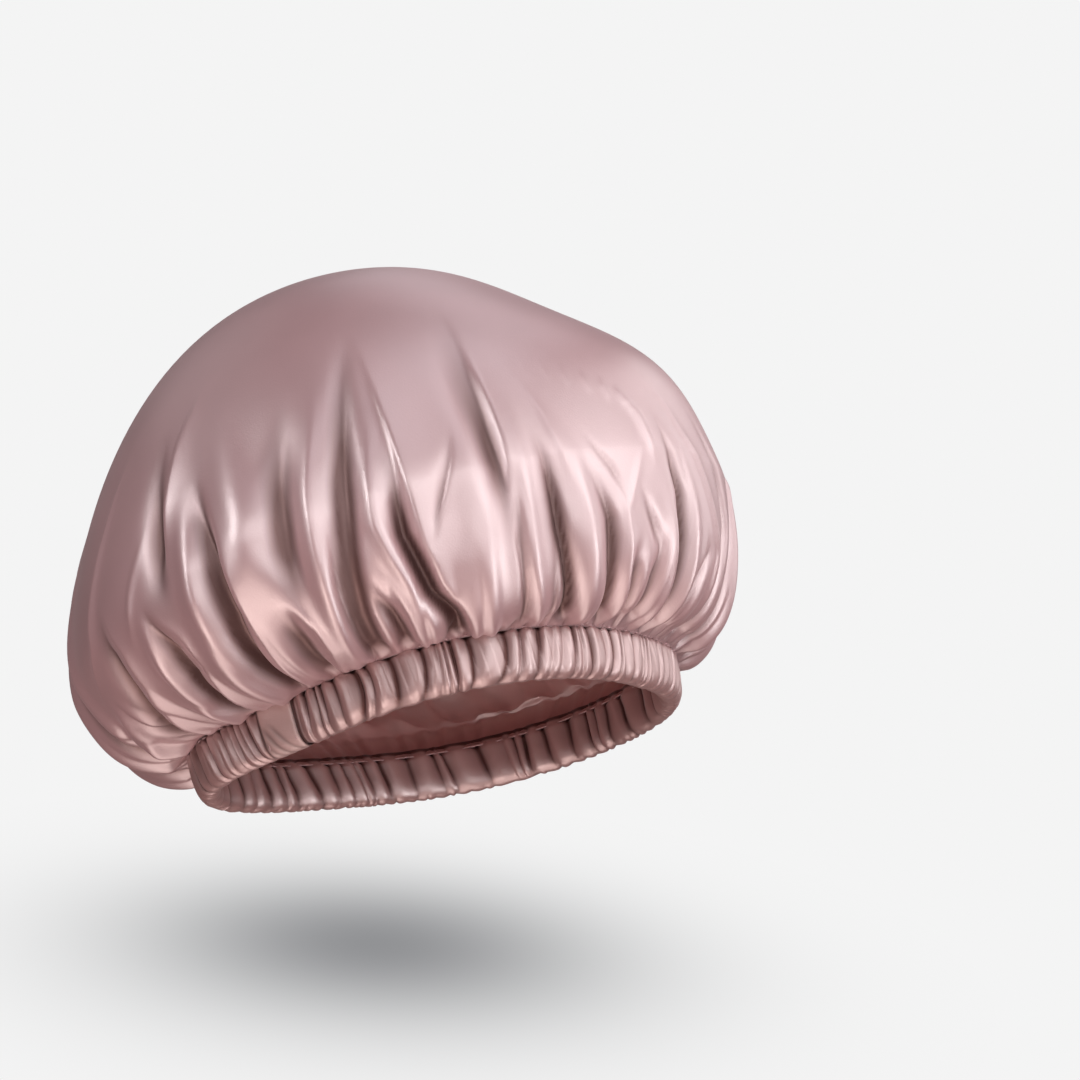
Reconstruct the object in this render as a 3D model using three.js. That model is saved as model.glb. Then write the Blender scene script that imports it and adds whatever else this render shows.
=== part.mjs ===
// Satin hair bonnet: two gathered crowns sewn into an elasticated casing.
// Millimetres, +Z up, the head opening faces down and the rim rests on z = 0.
// The nape is towards -X, and the casing is joined under its tab beside it.

import * as THREE from 'three';

// Cloth, thread and the room between neighbours
const clothThickness = 0.4;
const threadDiameter = 0.4;
const clearance = 0.3;

// Elastic
const elasticWidth = 13;
const elasticThickness = 1;
const elasticLap = 12;

// Relaxed casing: mean radius of its outer face, and how far it departs from a circle
const rimRadius = 85;
const ovalSwell = 1;
const threeLobeSwell = 4.6;
const fourLobeSwell = 3;
const flare = 1.5;
const rimFoldHeight = 2.8;
const landWidth = 2.2;
const seamRoom = 1.6;
const seamAllowance = 4;
const outerPuckerDepth = 1;
const innerPuckerDepth = 0.6;
const puckerCount = 42;

// Tab over the casing's join
const tabWidth = 18;
const tabStitchInset = 2;

// Crown: the cloth balloons over the casing and leans towards the nape
const crownRadius = 122;
const crownHeight = 178;
const widestHeight = 59.5;
const undersideHeight = 17.5;
const undersideReach = 8;
const crownLean = 7;
const apexLean = 8.3;
const widestDip = 14;
const undersideDip = 2.4;
const foldDepth = 4.2;
const liningInset = 3.4;
const liningFoldShare = 0.55;
const liningLift = 1.5;

// Bearings round the vertical axis, in degrees from +X
const joinBearing = 190.5;
const ovalBearing = 78;
const threeLobeBearing = 18;
const fourLobeBearing = 58;
const leanBearing = 173;
const dipBearing = 143;

// Powers that round the crown: of its radius and height above the widest level, and below it
const domeRadiusPower = 0.85;
const domeHeightPower = 1.45;
const bellyPower = 1.03;

// Levels and radial places across the casing, worked out from what it holds
const cavityFloor = rimFoldHeight * 0.8;
const elasticBottom = cavityFloor + clearance;
const elasticTop = elasticBottom + elasticWidth;
const seamHeight = elasticTop + seamRoom;
const leafTop = seamHeight + seamAllowance;
const lapRoom = Math.max(outerPuckerDepth, threadDiameter + clearance);
const lapOuter = -clothThickness - lapRoom - clearance;
const lapInner = lapOuter - elasticThickness;
const elasticOuter = lapInner - clearance;
const elasticInner = elasticOuter - elasticThickness;
const innerLeafCavity = elasticInner - clearance - innerPuckerDepth;
const innerLeafFace = innerLeafCavity - clothThickness;
const leafMiddle = innerLeafFace / 2;
const outerLeafTopFace = leafMiddle + clearance / 2 + clothThickness;
const innerLeafTopFace = leafMiddle - clearance / 2 - clothThickness;
const landOuter = leafMiddle + landWidth / 2;
const landInner = leafMiddle - landWidth / 2;
const tabFold = clothThickness + clearance;

const radians = THREE.MathUtils.degToRad;
const tabHalfAngle = tabWidth / 2 / rimRadius;
const lapHalfAngle = elasticLap / 2 / rimRadius;
const gapHalfAngle = clearance / rimRadius;

// Main folds of the forehead-to-ear side, as bearings of ridge and valley, with a depth share
const wornFolds = [
  [175, 178.5, 0.7], [181.5, 185, 0.6], [189, 192.5, 0.8], [202, 205.5, 1.0],
  [211, 218, 0.8], [223, 227, 1.0], [232, 236, 0.8], [239, 245, 1.0],
  [253, 258.5, 1.0], [262, 266.5, 0.9], [274, 283, 1.0], [289, 296, 0.8], [302, 308, 0.7],
];
const plainFoldCount = 23;

const materials = {
  outer: new THREE.MeshStandardMaterial({ color: 0xb58d90, roughness: 0.36, metalness: 0 }),
  lining: new THREE.MeshStandardMaterial({ color: 0xa87c7e, roughness: 0.42, metalness: 0 }),
  casing: new THREE.MeshStandardMaterial({ color: 0xb08689, roughness: 0.38, metalness: 0 }),
  tab: new THREE.MeshStandardMaterial({ color: 0xb88f8f, roughness: 0.4, metalness: 0 }),
  elastic: new THREE.MeshStandardMaterial({ color: 0xe9e6e2, roughness: 0.85, metalness: 0 }),
  thread: new THREE.MeshStandardMaterial({ color: 0x9a7074, roughness: 0.6, metalness: 0 }),
};

// How strongly something with a given number of lobes shows at an angle
function lobe(angle, count, bearing) {
  return Math.cos(count * (angle - radians(bearing)));
}

// Radius of the casing's outer face at an angle
function ringRadius(angle) {
  return rimRadius + ovalSwell * lobe(angle, 2, ovalBearing)
    + threeLobeSwell * lobe(angle, 3, threeLobeBearing)
    + fourLobeSwell * lobe(angle, 4, fourLobeBearing);
}

function atAngle(angle, radius, height) {
  return new THREE.Vector3(radius * Math.cos(angle), radius * Math.sin(angle), height);
}

// A point of the band: out from the casing's outer face, which flares a little with height
function bandPoint(angle, out, height) {
  const leanOut = flare * height / seamHeight;
  return atAngle(angle, ringRadius(angle) + leanOut + out, height);
}

// Closed solid swept through the same closed section at every station.
// A ring joins its last station to its first; an open strip gets flat ends.
// Each face is cut along the diagonal that falls towards the next station, so that the
// two sides of a thin wall are cut alike and keep their distance.
function sweptSolid(stations, closesOnItself) {
  const sides = stations[0].length;
  const points = stations.flat();
  const faces = [];
  const spans = closesOnItself ? stations.length : stations.length - 1;
  for (let i = 0; i < spans; i += 1) {
    const here = i * sides;
    const next = ((i + 1) % stations.length) * sides;
    for (let j = 0; j < sides; j += 1) {
      const k = (j + 1) % sides;
      if (points[here + j].z >= points[here + k].z) {
        faces.push(here + j, next + j, next + k, here + j, next + k, here + k);
      } else {
        faces.push(here + j, next + j, here + k, next + j, next + k, here + k);
      }
    }
  }
  if (!closesOnItself) {
    const lastStart = (stations.length - 1) * sides;
    for (const [a, b, c] of capFaces(stations[0])) {
      faces.push(a, b, c);
      faces.push(lastStart + a, lastStart + c, lastStart + b);
    }
  }
  return solidGeometry(points, faces);
}

// Triangles over an end section, wound the way its outline is listed
function capFaces(section) {
  const { area, triangulateShape } = THREE.ShapeUtils;
  const outline = section.map((p) => new THREE.Vector2(Math.hypot(p.x, p.y), p.z));
  const turn = Math.sign(area(outline));
  return triangulateShape(outline, []).map(([a, b, c]) => (
    Math.sign(area([outline[a], outline[b], outline[c]])) === turn ? [a, b, c] : [a, c, b]));
}

// Builds the geometry and turns every face outwards, whichever way it was listed
function solidGeometry(points, faces) {
  const a = new THREE.Vector3();
  let volume = 0;
  for (let i = 0; i < faces.length; i += 3) {
    a.crossVectors(points[faces[i + 1]], points[faces[i + 2]]);
    volume += points[faces[i]].dot(a);
  }
  if (volume < 0) {
    faces.reverse();
  }
  const geometry = new THREE.BufferGeometry();
  geometry.setAttribute('position', new THREE.Float32BufferAttribute(
    points.flatMap((p) => [p.x, p.y, p.z]), 3));
  geometry.setIndex(faces);
  geometry.computeVertexNormals();
  return geometry;
}

// Ridges and valleys round the crown: the worn side as listed, the rest by formula
function crownColumns() {
  const columns = [];
  for (const [ridge, valley, depthShare] of wornFolds) {
    columns.push({ bearing: ridge, reliefShare: depthShare });
    columns.push({ bearing: valley, reliefShare: -depthShare });
  }
  const start = wornFolds.at(-1)[1];
  const sweep = 360 + wornFolds[0][0] - start;
  const pitch = sweep / (plainFoldCount + 0.5);
  for (let i = 0; i < plainFoldCount; i += 1) {
    const sway = 0.16 * Math.sin(2.4 * i) * pitch;
    const depthShare = 0.75 + 0.25 * Math.sin(1.7 * i + 1);
    columns.push({ bearing: start + pitch * (i + 0.5) + sway, reliefShare: depthShare });
    columns.push({ bearing: start + pitch * (i + 1) + sway, reliefShare: -depthShare });
  }
  return columns;
}

// The balloon of cloth: latitude -90 is the underside by the seam, 0 the widest, 90 the apex.
// Radius and height follow powers of the latitude's cosine and sine.
function balloon(angle, latitude, inset, floor) {
  const across = Math.cos(radians(latitude));
  const up = Math.abs(Math.sin(radians(latitude)));
  const leaning = Math.cos(angle - radians(leanBearing));
  const dipping = Math.cos(angle - radians(dipBearing));
  const widest = crownRadius + crownLean * leaning - inset;
  const level = widestHeight - widestDip * dipping;
  if (latitude >= 0) {
    const rise = up ** domeHeightPower;
    const centre = atAngle(radians(leanBearing), apexLean * rise, 0);
    const height = level + (crownHeight - inset - level) * rise;
    return atAngle(angle, widest * across ** domeRadiusPower, height).add(centre);
  }
  const start = ringRadius(angle) + flare + undersideReach;
  const fall = up ** bellyPower;
  const radius = start + (widest - start) * across ** bellyPower;
  return atAngle(angle, radius, level - (level - floor(angle)) * fall);
}

// Outward direction of the balloon, in the upright plane through the angle
function balloonNormal(angle, latitude, inset, floor) {
  const step = latitude > 0 ? -1 : 1;
  const here = balloon(angle, latitude, inset, floor);
  const along = balloon(angle, latitude + step, inset, floor).sub(here).multiplyScalar(step);
  const outward = along.dot(atAngle(angle, 1, 0));
  return atAngle(angle, along.z, -outward).normalize();
}

// How much of a fold is left at a latitude: tight by the seam, fullest below the widest
// level, gone before the apex
const foldRows = [
  { latitude: -78, rowShare: 0.55 }, { latitude: -46, rowShare: 0.9 },
  { latitude: -14, rowShare: 1 }, { latitude: 12, rowShare: 0.75 }, { latitude: 33, rowShare: 0.35 },
];
const smoothRows = [{ latitude: 50 }, { latitude: 65 }, { latitude: 80 }];

// One skin of a crown: full rows of columns, then rows of every second column, then the apex
function crownSkin(columns, edgeRows, inset, floor, foldShare, offset) {
  const rows = edgeRows.map((edge) => columns.map((column) => edge(radians(column.bearing))));
  for (const { latitude, rowShare } of foldRows) {
    rows.push(columns.map((column) => {
      const angle = radians(column.bearing);
      const out = foldDepth * foldShare * rowShare * column.reliefShare - offset;
      const normal = balloonNormal(angle, latitude, inset, floor);
      return balloon(angle, latitude, inset, floor).addScaledVector(normal, out);
    }));
  }
  const every = columns.filter((column, i) => i % 2 === 0);
  for (const { latitude } of smoothRows) {
    rows.push(every.map((column) => {
      const angle = radians(column.bearing);
      const normal = balloonNormal(angle, latitude, inset, floor);
      return balloon(angle, latitude, inset, floor).addScaledVector(normal, -offset);
    }));
  }
  const apex = balloon(0, 90, inset, floor);
  apex.z -= offset;
  rows.push([apex]);
  return rows;
}

// Joins two skins into one closed sheet of cloth along their lower edges
function clothShell(outerRows, innerRows) {
  const points = [];
  const faces = [];
  const indexRows = (rows) => rows.map((row) => row.map((p) => points.push(p) - 1));
  const outer = indexRows(outerRows);
  const inner = indexRows(innerRows);
  for (const [rows, flip] of [[outer, false], [inner, true]]) {
    for (let i = 0; i + 1 < rows.length; i += 1) {
      for (const [a, b, c] of rowFaces(rows[i], rows[i + 1])) {
        faces.push(...(flip ? [a, c, b] : [a, b, c]));
      }
    }
  }
  for (const [a, b, c] of rowFaces(inner[0], outer[0])) {
    faces.push(a, b, c);
  }
  return solidGeometry(points, faces);
}

// Triangles between a row and the next, which has as many points, half as many, or one
function rowFaces(low, high) {
  const faces = [];
  const count = low.length;
  const ratio = count / high.length;
  for (let i = 0; i < count; i += 1) {
    const next = (i + 1) % count;
    if (high.length === 1) {
      faces.push([low[i], low[next], high[0]]);
    } else if (ratio === 1) {
      faces.push([low[i], low[next], high[next]], [low[i], high[next], high[i]]);
    } else if (i % 2 === 0) {
      const right = ((i + 2) % count) / 2;
      faces.push([low[i], low[next], high[i / 2]]);
      faces.push([low[next], low[(i + 2) % count], high[right]]);
      faces.push([low[next], high[right], high[i / 2]]);
    }
  }
  return faces;
}

// Radial place of the casing's outer face above the elastic, at the crest of a pucker
function outerLeafCrest(height) {
  const share = (height - elasticTop) / (leafTop - elasticTop);
  return outerPuckerDepth * (1 - share) + outerLeafTopFace * share;
}

// The same for the casing's inner face, which puckers towards the head
function innerLeafCrest(height) {
  const share = (height - elasticTop) / (leafTop - elasticTop);
  return (innerLeafFace - innerPuckerDepth) * (1 - share) + innerLeafTopFace * share;
}

function undersideFloor(angle) {
  return undersideHeight - undersideDip * Math.cos(angle - radians(dipBearing));
}

function liningFloor() {
  return leafTop + liningLift + clothThickness;
}

function outerCrown() {
  const columns = crownColumns();
  const edge = outerLeafCrest(seamHeight) + clearance;
  const below = (angle) => bandPoint(angle, edge, seamHeight);
  const above = (angle) => bandPoint(angle, edge, seamHeight + clothThickness);
  return clothShell(
    crownSkin(columns, [below], 0, undersideFloor, 1, 0),
    crownSkin(columns, [above], 0, undersideFloor, 1, clothThickness),
  );
}

function liningCrown() {
  const columns = crownColumns();
  const low = innerLeafCrest(seamHeight) - clearance;
  const high = innerLeafTopFace - clearance;
  const shoulder = leafTop + clearance;
  const faceIn = (out, height) => (angle) => bandPoint(angle, out - clothThickness, height);
  const faceOut = (out, height) => (angle) => bandPoint(angle, out, height);
  return clothShell(
    crownSkin(columns, [faceOut(low, seamHeight), faceOut(high, shoulder)],
      liningInset, liningFloor, liningFoldShare, 0),
    crownSkin(columns, [faceIn(low, seamHeight), faceIn(high, shoulder + clothThickness)],
      liningInset, liningFloor, liningFoldShare, clothThickness),
  );
}

// Folded strip: up the outer leaf's face, over the rim and up the inner leaf, then back
// down the cavity that holds the elastic. A pucker of 1 is a crest, -1 a valley.
function casingSection(angle, pucker, rimLift) {
  const swell = outerPuckerDepth * pucker;
  const swellIn = innerPuckerDepth * pucker;
  const lowShare = 0.3;
  const floorInsetShare = 2.2;
  const floorOuter = -clothThickness * floorInsetShare;
  const floorInner = innerLeafFace + clothThickness * floorInsetShare;
  const path = [
    [outerLeafTopFace, leafTop], [swell, elasticTop], [swell * lowShare, rimFoldHeight],
    [landOuter, rimLift], [landInner, rimLift],
    [innerLeafFace - swellIn * lowShare, rimFoldHeight], [innerLeafFace - swellIn, elasticTop],
    [innerLeafTopFace, leafTop], [innerLeafTopFace + clothThickness, leafTop],
    [innerLeafCavity - swellIn, elasticTop], [floorInner, cavityFloor],
    [floorOuter, cavityFloor], [swell - clothThickness, elasticTop],
    [outerLeafTopFace - clothThickness, leafTop],
  ];
  return path.map(([out, height]) => bandPoint(angle, out, height));
}

function bandCasing() {
  const start = radians(joinBearing) + gapHalfAngle;
  const sweep = 2 * Math.PI - 2 * gapHalfAngle;
  const flatEdge = tabHalfAngle + 2 * gapHalfAngle;
  const stations = [casingSection(start, 0, tabFold), casingSection(start + flatEdge, 0, tabFold)];
  const first = start + flatEdge + 4 * gapHalfAngle;
  const pitch = (sweep - 2 * (first - start)) / (2 * puckerCount);
  stations.push(casingSection(first, 0, 0));
  for (let i = 1; i < 2 * puckerCount; i += 1) {
    const crest = i % 2 === 1 ? 1 : -1;
    const depthShare = 0.75 + 0.25 * Math.sin(2.1 * i);
    const sway = 0.3 * Math.sin(1.3 * i) * pitch;
    stations.push(casingSection(first + i * pitch + sway, crest * depthShare, 0));
  }
  const last = start + sweep;
  stations.push(casingSection(last - (first - start), 0, 0));
  stations.push(casingSection(last - flatEdge, 0, tabFold));
  stations.push(casingSection(last, 0, tabFold));
  return sweptSolid(stations, false);
}

// Flat cover wrapped round the casing's join, one cloth thick
function casingJoinTab() {
  const away = clearance + clothThickness;
  const topOuter = seamHeight - seamRoom / 2;
  const slope = outerLeafTopFace / (leafTop - elasticTop) * (topOuter - elasticTop);
  const outside = [
    [slope + away, topOuter], [away, elasticTop], [away, rimFoldHeight], [landOuter, 0],
    [landInner, 0], [innerLeafFace - away, rimFoldHeight], [innerLeafFace - away, elasticTop],
  ];
  const inside = [
    [innerLeafFace - clearance, elasticTop], [innerLeafFace - clearance, rimFoldHeight],
    [landInner, clothThickness], [landOuter, clothThickness], [clearance, rimFoldHeight],
    [clearance, elasticTop], [slope + clearance, topOuter],
  ];
  const stations = [];
  const spans = 4;
  for (let i = 0; i <= spans; i += 1) {
    const angle = radians(joinBearing) + tabHalfAngle * (2 * i / spans - 1);
    stations.push([...outside, ...inside].map(([out, height]) => bandPoint(angle, out, height)));
  }
  return sweptSolid(stations, false);
}

// Flat elastic whose ends lap behind the tab, the outer end stepped out over the inner one
function elasticBand() {
  const stations = [];
  const spans = 72;
  const from = radians(joinBearing) - lapHalfAngle;
  const sweep = 2 * Math.PI + 2 * lapHalfAngle;
  const stepOut = lapOuter - elasticOuter;
  const stepStart = 1 - 4 * lapHalfAngle / sweep;
  const stepEnd = 1 - 2.4 * lapHalfAngle / sweep;
  for (let i = 0; i <= spans; i += 1) {
    const share = i / spans;
    const out = stepOut * THREE.MathUtils.smoothstep(share, stepStart, stepEnd);
    const angle = from + sweep * share;
    stations.push([
      bandPoint(angle, elasticOuter + out, elasticTop),
      bandPoint(angle, elasticOuter + out, elasticBottom),
      bandPoint(angle, elasticInner + out, elasticBottom),
      bandPoint(angle, elasticInner + out, elasticTop),
    ]);
  }
  return sweptSolid(stations, false);
}

// Thread as a thin prism bent along a route of points, closed or with flat ends
function threadAlong(route, closesOnItself) {
  const sides = 5;
  const stations = route.map((point, i) => {
    const before = closesOnItself ? route.at(i - 1) : route[Math.max(i - 1, 0)];
    const after = route[closesOnItself ? (i + 1) % route.length : Math.min(i + 1, route.length - 1)];
    const along = after.clone().sub(before).normalize();
    const out = point.clone().setZ(0).normalize();
    const across = along.clone().cross(out).normalize();
    const level = across.clone().cross(along);
    return Array.from({ length: sides }, (unused, j) => {
      const turn = 2 * Math.PI * j / sides;
      return point.clone().addScaledVector(level, threadDiameter / 2 * Math.cos(turn))
        .addScaledVector(across, threadDiameter / 2 * Math.sin(turn));
    });
  });
  return closesOnItself ? sweptSolid(stations, true) : threadSolid(stations, sides);
}

// A swept thread with a fan over each end
function threadSolid(stations, sides) {
  const points = stations.flat();
  const faces = [];
  const last = (stations.length - 1) * sides;
  for (let i = 0; i + 1 < stations.length; i += 1) {
    for (let j = 0; j < sides; j += 1) {
      const k = (j + 1) % sides;
      const here = i * sides;
      const next = here + sides;
      faces.push(here + j, next + j, next + k, here + j, next + k, here + k);
    }
  }
  for (let j = 1; j + 1 < sides; j += 1) {
    faces.push(0, j, j + 1);
    faces.push(last, last + j + 1, last + j);
  }
  return solidGeometry(points, faces);
}

function seamRing(out, height) {
  const spans = 96;
  return threadAlong(Array.from({ length: spans }, (unused, i) => (
    bandPoint(2 * Math.PI * i / spans, out, height))), true);
}

function outerSeamThread() {
  const height = seamHeight + clothThickness + clearance + threadDiameter / 2;
  return seamRing(outerLeafCrest(height) + clearance + threadDiameter / 2, height);
}

function liningSeamThread() {
  const height = seamHeight - clearance - threadDiameter / 2;
  return seamRing(innerLeafCrest(height) - clearance - threadDiameter / 2, height);
}

// Zigzag that holds the lapped ends of the elastic together
function elasticJoinStitches() {
  const turns = 10;
  const out = lapOuter + clearance + threadDiameter / 2;
  const margin = threadDiameter * 2;
  const rise = elasticWidth - 2 * margin;
  const route = Array.from({ length: turns + 1 }, (unused, i) => {
    const side = i % 2 === 0 ? 1 : -1;
    const angle = radians(joinBearing) + side * lapHalfAngle / 2;
    return bandPoint(angle, out, elasticBottom + margin + rise * i / turns);
  });
  return threadAlong(route, false);
}

// One of the two stitch lines down the tab
function tabStitch(side) {
  const out = clothThickness + 2 * clearance + threadDiameter / 2;
  const angle = radians(joinBearing) + side * (tabHalfAngle - tabStitchInset / rimRadius);
  const spans = 6;
  return threadAlong(Array.from({ length: spans + 1 }, (unused, i) => bandPoint(
    angle, out, THREE.MathUtils.lerp(rimFoldHeight, elasticTop, i / spans))), false);
}

function namedMesh(name, geometry, material) {
  const mesh = new THREE.Mesh(geometry, material);
  mesh.name = name;
  return mesh;
}

const bonnet = new THREE.Group();
bonnet.add(
  namedMesh('outer_crown', outerCrown(), materials.outer),
  namedMesh('lining_crown', liningCrown(), materials.lining),
  namedMesh('band_casing', bandCasing(), materials.casing),
  namedMesh('casing_join_tab', casingJoinTab(), materials.tab),
  namedMesh('elastic_band', elasticBand(), materials.elastic),
  namedMesh('elastic_join_stitches', elasticJoinStitches(), materials.thread),
  namedMesh('outer_seam_thread', outerSeamThread(), materials.thread),
  namedMesh('lining_seam_thread', liningSeamThread(), materials.thread),
  namedMesh('tab_stitch_left', tabStitch(1), materials.thread),
  namedMesh('tab_stitch_right', tabStitch(-1), materials.thread),
);

// The origin is under the middle of the whole bonnet
const middle = new THREE.Box3().setFromObject(bonnet).getCenter(new THREE.Vector3());
bonnet.position.set(-middle.x, -middle.y, 0);

export default bonnet;
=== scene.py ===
# %% [markdown]
# # A satin hair bonnet
# A hair bonnet is a round of satin gathered into an elastic casing, with a second round of
# satin inside as a lining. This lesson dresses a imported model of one. Every size below is a
# real size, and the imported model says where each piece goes.

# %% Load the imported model
import math

import bpy
import numpy as np
from mathutils import Matrix, Vector


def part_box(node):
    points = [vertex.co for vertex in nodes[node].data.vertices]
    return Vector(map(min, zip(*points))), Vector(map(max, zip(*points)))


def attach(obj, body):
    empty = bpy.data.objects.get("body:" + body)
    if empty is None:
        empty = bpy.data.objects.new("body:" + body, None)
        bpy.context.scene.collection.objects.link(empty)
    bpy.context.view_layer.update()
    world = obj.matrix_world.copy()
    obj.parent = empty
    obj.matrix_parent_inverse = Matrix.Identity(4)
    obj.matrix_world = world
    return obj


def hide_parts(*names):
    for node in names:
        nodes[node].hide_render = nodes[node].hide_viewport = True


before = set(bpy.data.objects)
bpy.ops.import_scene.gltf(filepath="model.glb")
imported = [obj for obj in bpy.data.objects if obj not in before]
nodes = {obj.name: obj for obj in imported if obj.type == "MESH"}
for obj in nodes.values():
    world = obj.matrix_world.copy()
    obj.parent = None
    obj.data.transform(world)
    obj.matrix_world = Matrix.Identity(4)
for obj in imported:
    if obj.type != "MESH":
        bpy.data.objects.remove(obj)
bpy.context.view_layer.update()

# %% [markdown]
# ## The rim's plan
# The relaxed elastic isn't a true circle: it springs into a slightly three-cornered oval. Its
# radius is a circle's plus three small waves round the vertical axis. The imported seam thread
# gives the centre, because the model's origin is under the middle of the whole bonnet.

# %% Rim sizes and radius
MM = 0.001
RIM_RADIUS = 85 * MM
RIM_WAVES = [(2, 1.0 * MM, 78), (3, 4.6 * MM, 18), (4, 3.0 * MM, 58)]
SEAM_HEIGHT = 17.14 * MM
LEAF_TOP = 21.14 * MM
FLARE = 1.5 * MM
JOIN_BEARING = 190.5


def ring_radius(turn):
    """Mean radius plus a cosine wave for each entry: lobes, height and bearing of its crest."""
    radius = np.full_like(turn, RIM_RADIUS)
    for lobes, swell, bearing in RIM_WAVES:
        radius += swell * np.cos(lobes * (turn - math.radians(bearing)))
    return radius


def rim_centre():
    """Where the formula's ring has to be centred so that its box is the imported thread's box."""
    turn = np.linspace(0, 2 * math.pi, 1441)
    low, high = (np.array(corner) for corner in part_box("outer_seam_thread"))
    x, y = ring_radius(turn) * np.cos(turn), ring_radius(turn) * np.sin(turn)
    return np.array([(low[0] + high[0] - x.min() - x.max()) / 2,
                     (low[1] + high[1] - y.min() - y.max()) / 2, 0])


CENTRE = rim_centre()
print("rim centre, mm:", (CENTRE / MM).round(2))


# %% [markdown]
# ## Surfaces from grids
# Every piece of cloth here is a surface worked out on a grid: rows run up the cloth, columns
# run round it. A closed sheet needs two skins joined along their edges, so that it is a real
# solid when it is exported.

# %% Grid helpers
def ring_points(turn, radius, height):
    """Polar places round the rim's centre: radius times cosine and sine of the turn."""
    return np.stack(np.broadcast_arrays(CENTRE[0] + radius * np.cos(turn),
                                        CENTRE[1] + radius * np.sin(turn), height), axis=-1)


def grid_faces(rows, columns, start=0, wraps=True):
    """Four-cornered faces of a grid whose points are numbered row by row."""
    row, column = np.meshgrid(np.arange(rows - 1), np.arange(columns if wraps else columns - 1),
                              indexing="ij")
    beside = (column + 1) % columns
    corners = [row * columns + column, row * columns + beside,
               (row + 1) * columns + beside, (row + 1) * columns + column]
    return np.stack(corners, axis=-1).reshape(-1, 4) + start


def cloth_object(name, points, quads, triangles=None, flat=None, painted_shade=None):
    """An object at the origin, from an array of points, of quads and of triangles. Where they
    are given, flat is each point's place on the uncut cloth, kept as a UV map in metres, and
    the shade painted at each point, from 0 to 1, is kept as an attribute."""
    faces = quads.tolist() + ([] if triangles is None else triangles.tolist())
    mesh = bpy.data.meshes.new(name)
    mesh.from_pydata(points.reshape(-1, 3).tolist(), [], faces)
    mesh.polygons.foreach_set("use_smooth", [True] * len(faces))
    if flat is not None:
        corners = np.empty(len(mesh.loops), dtype=int)
        mesh.loops.foreach_get("vertex_index", corners)
        layer = mesh.uv_layers.new(name="flat cloth")
        layer.data.foreach_set("uv", flat.reshape(-1, 2)[corners].ravel())
    if painted_shade is not None:
        layer = mesh.attributes.new("painted_shade", "FLOAT", "POINT")
        layer.data.foreach_set("value", painted_shade.ravel())
    mesh.update()
    piece = bpy.data.objects.new(name, mesh)
    bpy.context.collection.objects.link(piece)
    return piece


def surface_normals(grid):
    """Unit normals of a grid that wraps round: its step across, crossed with its step up."""
    across = np.roll(grid, -1, axis=1) - np.roll(grid, 1, axis=1)
    normal = np.cross(across, np.gradient(grid, axis=0))
    return normal / np.maximum(np.linalg.norm(normal, axis=-1, keepdims=True), 1e-12)


def eased(value, low, high):
    """0 below low, 1 above high, and a smooth climb between."""
    share = np.clip((value - low) / (high - low), 0, 1)
    return share * share * (3 - 2 * share)


def turned(degrees, bearing):
    """Signed turn in degrees from a bearing, between -180 and 180."""
    return (degrees - bearing + 180) % 360 - 180


# %% [markdown]
# ## The balloon
# Puffed out, the crown is a balloon: from the seam it swells out and a little down, rounds up
# to its widest level and closes at the apex. Its latitude runs from -90 degrees at the seam to
# 90 at the apex. Powers of the latitude's cosine and sine give a flatter or fuller dome, and
# the whole balloon leans towards the nape.

# %% Balloon sizes and surface
CROWN_RADIUS = 122.5 * MM
CROWN_HEIGHT = 178 * MM
WIDEST_HEIGHT = 59.5 * MM
UNDERSIDE_HEIGHT = 17.5 * MM
UNDERSIDE_REACH = 8 * MM
CROWN_LEAN = 7 * MM
APEX_LEAN = 8.3 * MM
WIDEST_DIP = 14 * MM
UNDERSIDE_DIP = 2.4 * MM
LEAN_BEARING = math.radians(173)
DIP_BEARING = math.radians(143)
DOME_RADIUS_POWER = 0.85
DOME_HEIGHT_POWER = 1.45
BELLY_POWER = 1.03


def balloon(turn, latitude, inset=0.0, floor=None):
    """Radius falls as a power of cosine and height climbs as a power of sine of latitude.
    Below the widest level the radius falls only to the cloth's start beside the seam."""
    across = np.maximum(np.cos(latitude), 0)
    up = np.abs(np.sin(latitude))
    dipping = np.cos(turn - DIP_BEARING)
    widest = CROWN_RADIUS + CROWN_LEAN * np.cos(turn - LEAN_BEARING) - inset
    level = WIDEST_HEIGHT - WIDEST_DIP * dipping
    base = UNDERSIDE_HEIGHT - UNDERSIDE_DIP * dipping if floor is None else floor + 0 * turn
    rise = up ** DOME_HEIGHT_POWER
    above = latitude >= 0
    start = ring_radius(turn) + FLARE + UNDERSIDE_REACH
    fall = up ** BELLY_POWER
    radius = np.where(above, widest * across ** DOME_RADIUS_POWER,
                      start + (widest - start) * across ** BELLY_POWER)
    height = np.where(above, level + (CROWN_HEIGHT - inset - level) * rise,
                      level - (level - base) * fall)
    shift = np.where(above, APEX_LEAN * rise, 0)
    grid = ring_points(turn, radius, height)
    grid[..., 0] += shift * math.cos(LEAN_BEARING)
    grid[..., 1] += shift * math.sin(LEAN_BEARING)
    return grid


# %% [markdown]
# ## Folds
# Gathered satin makes long folds. Some are round puffs, some are valleys that start at a point
# high on the crown and deepen towards the seam, and some are thin drawn lines where the cloth
# is pulled tight. Each one is written as a route of heights and bearings from its top down,
# with its depth and its width to the left and right. The relief at a place is the sum of a
# bell-shaped profile across every route, so a steep side and a gentle side give the folded
# look that a plain wave lacks. The viewed side's places were picked by eye from the photo, turned
# into heights and bearings with a helper script, rounded, and in part changed by hand.

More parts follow.
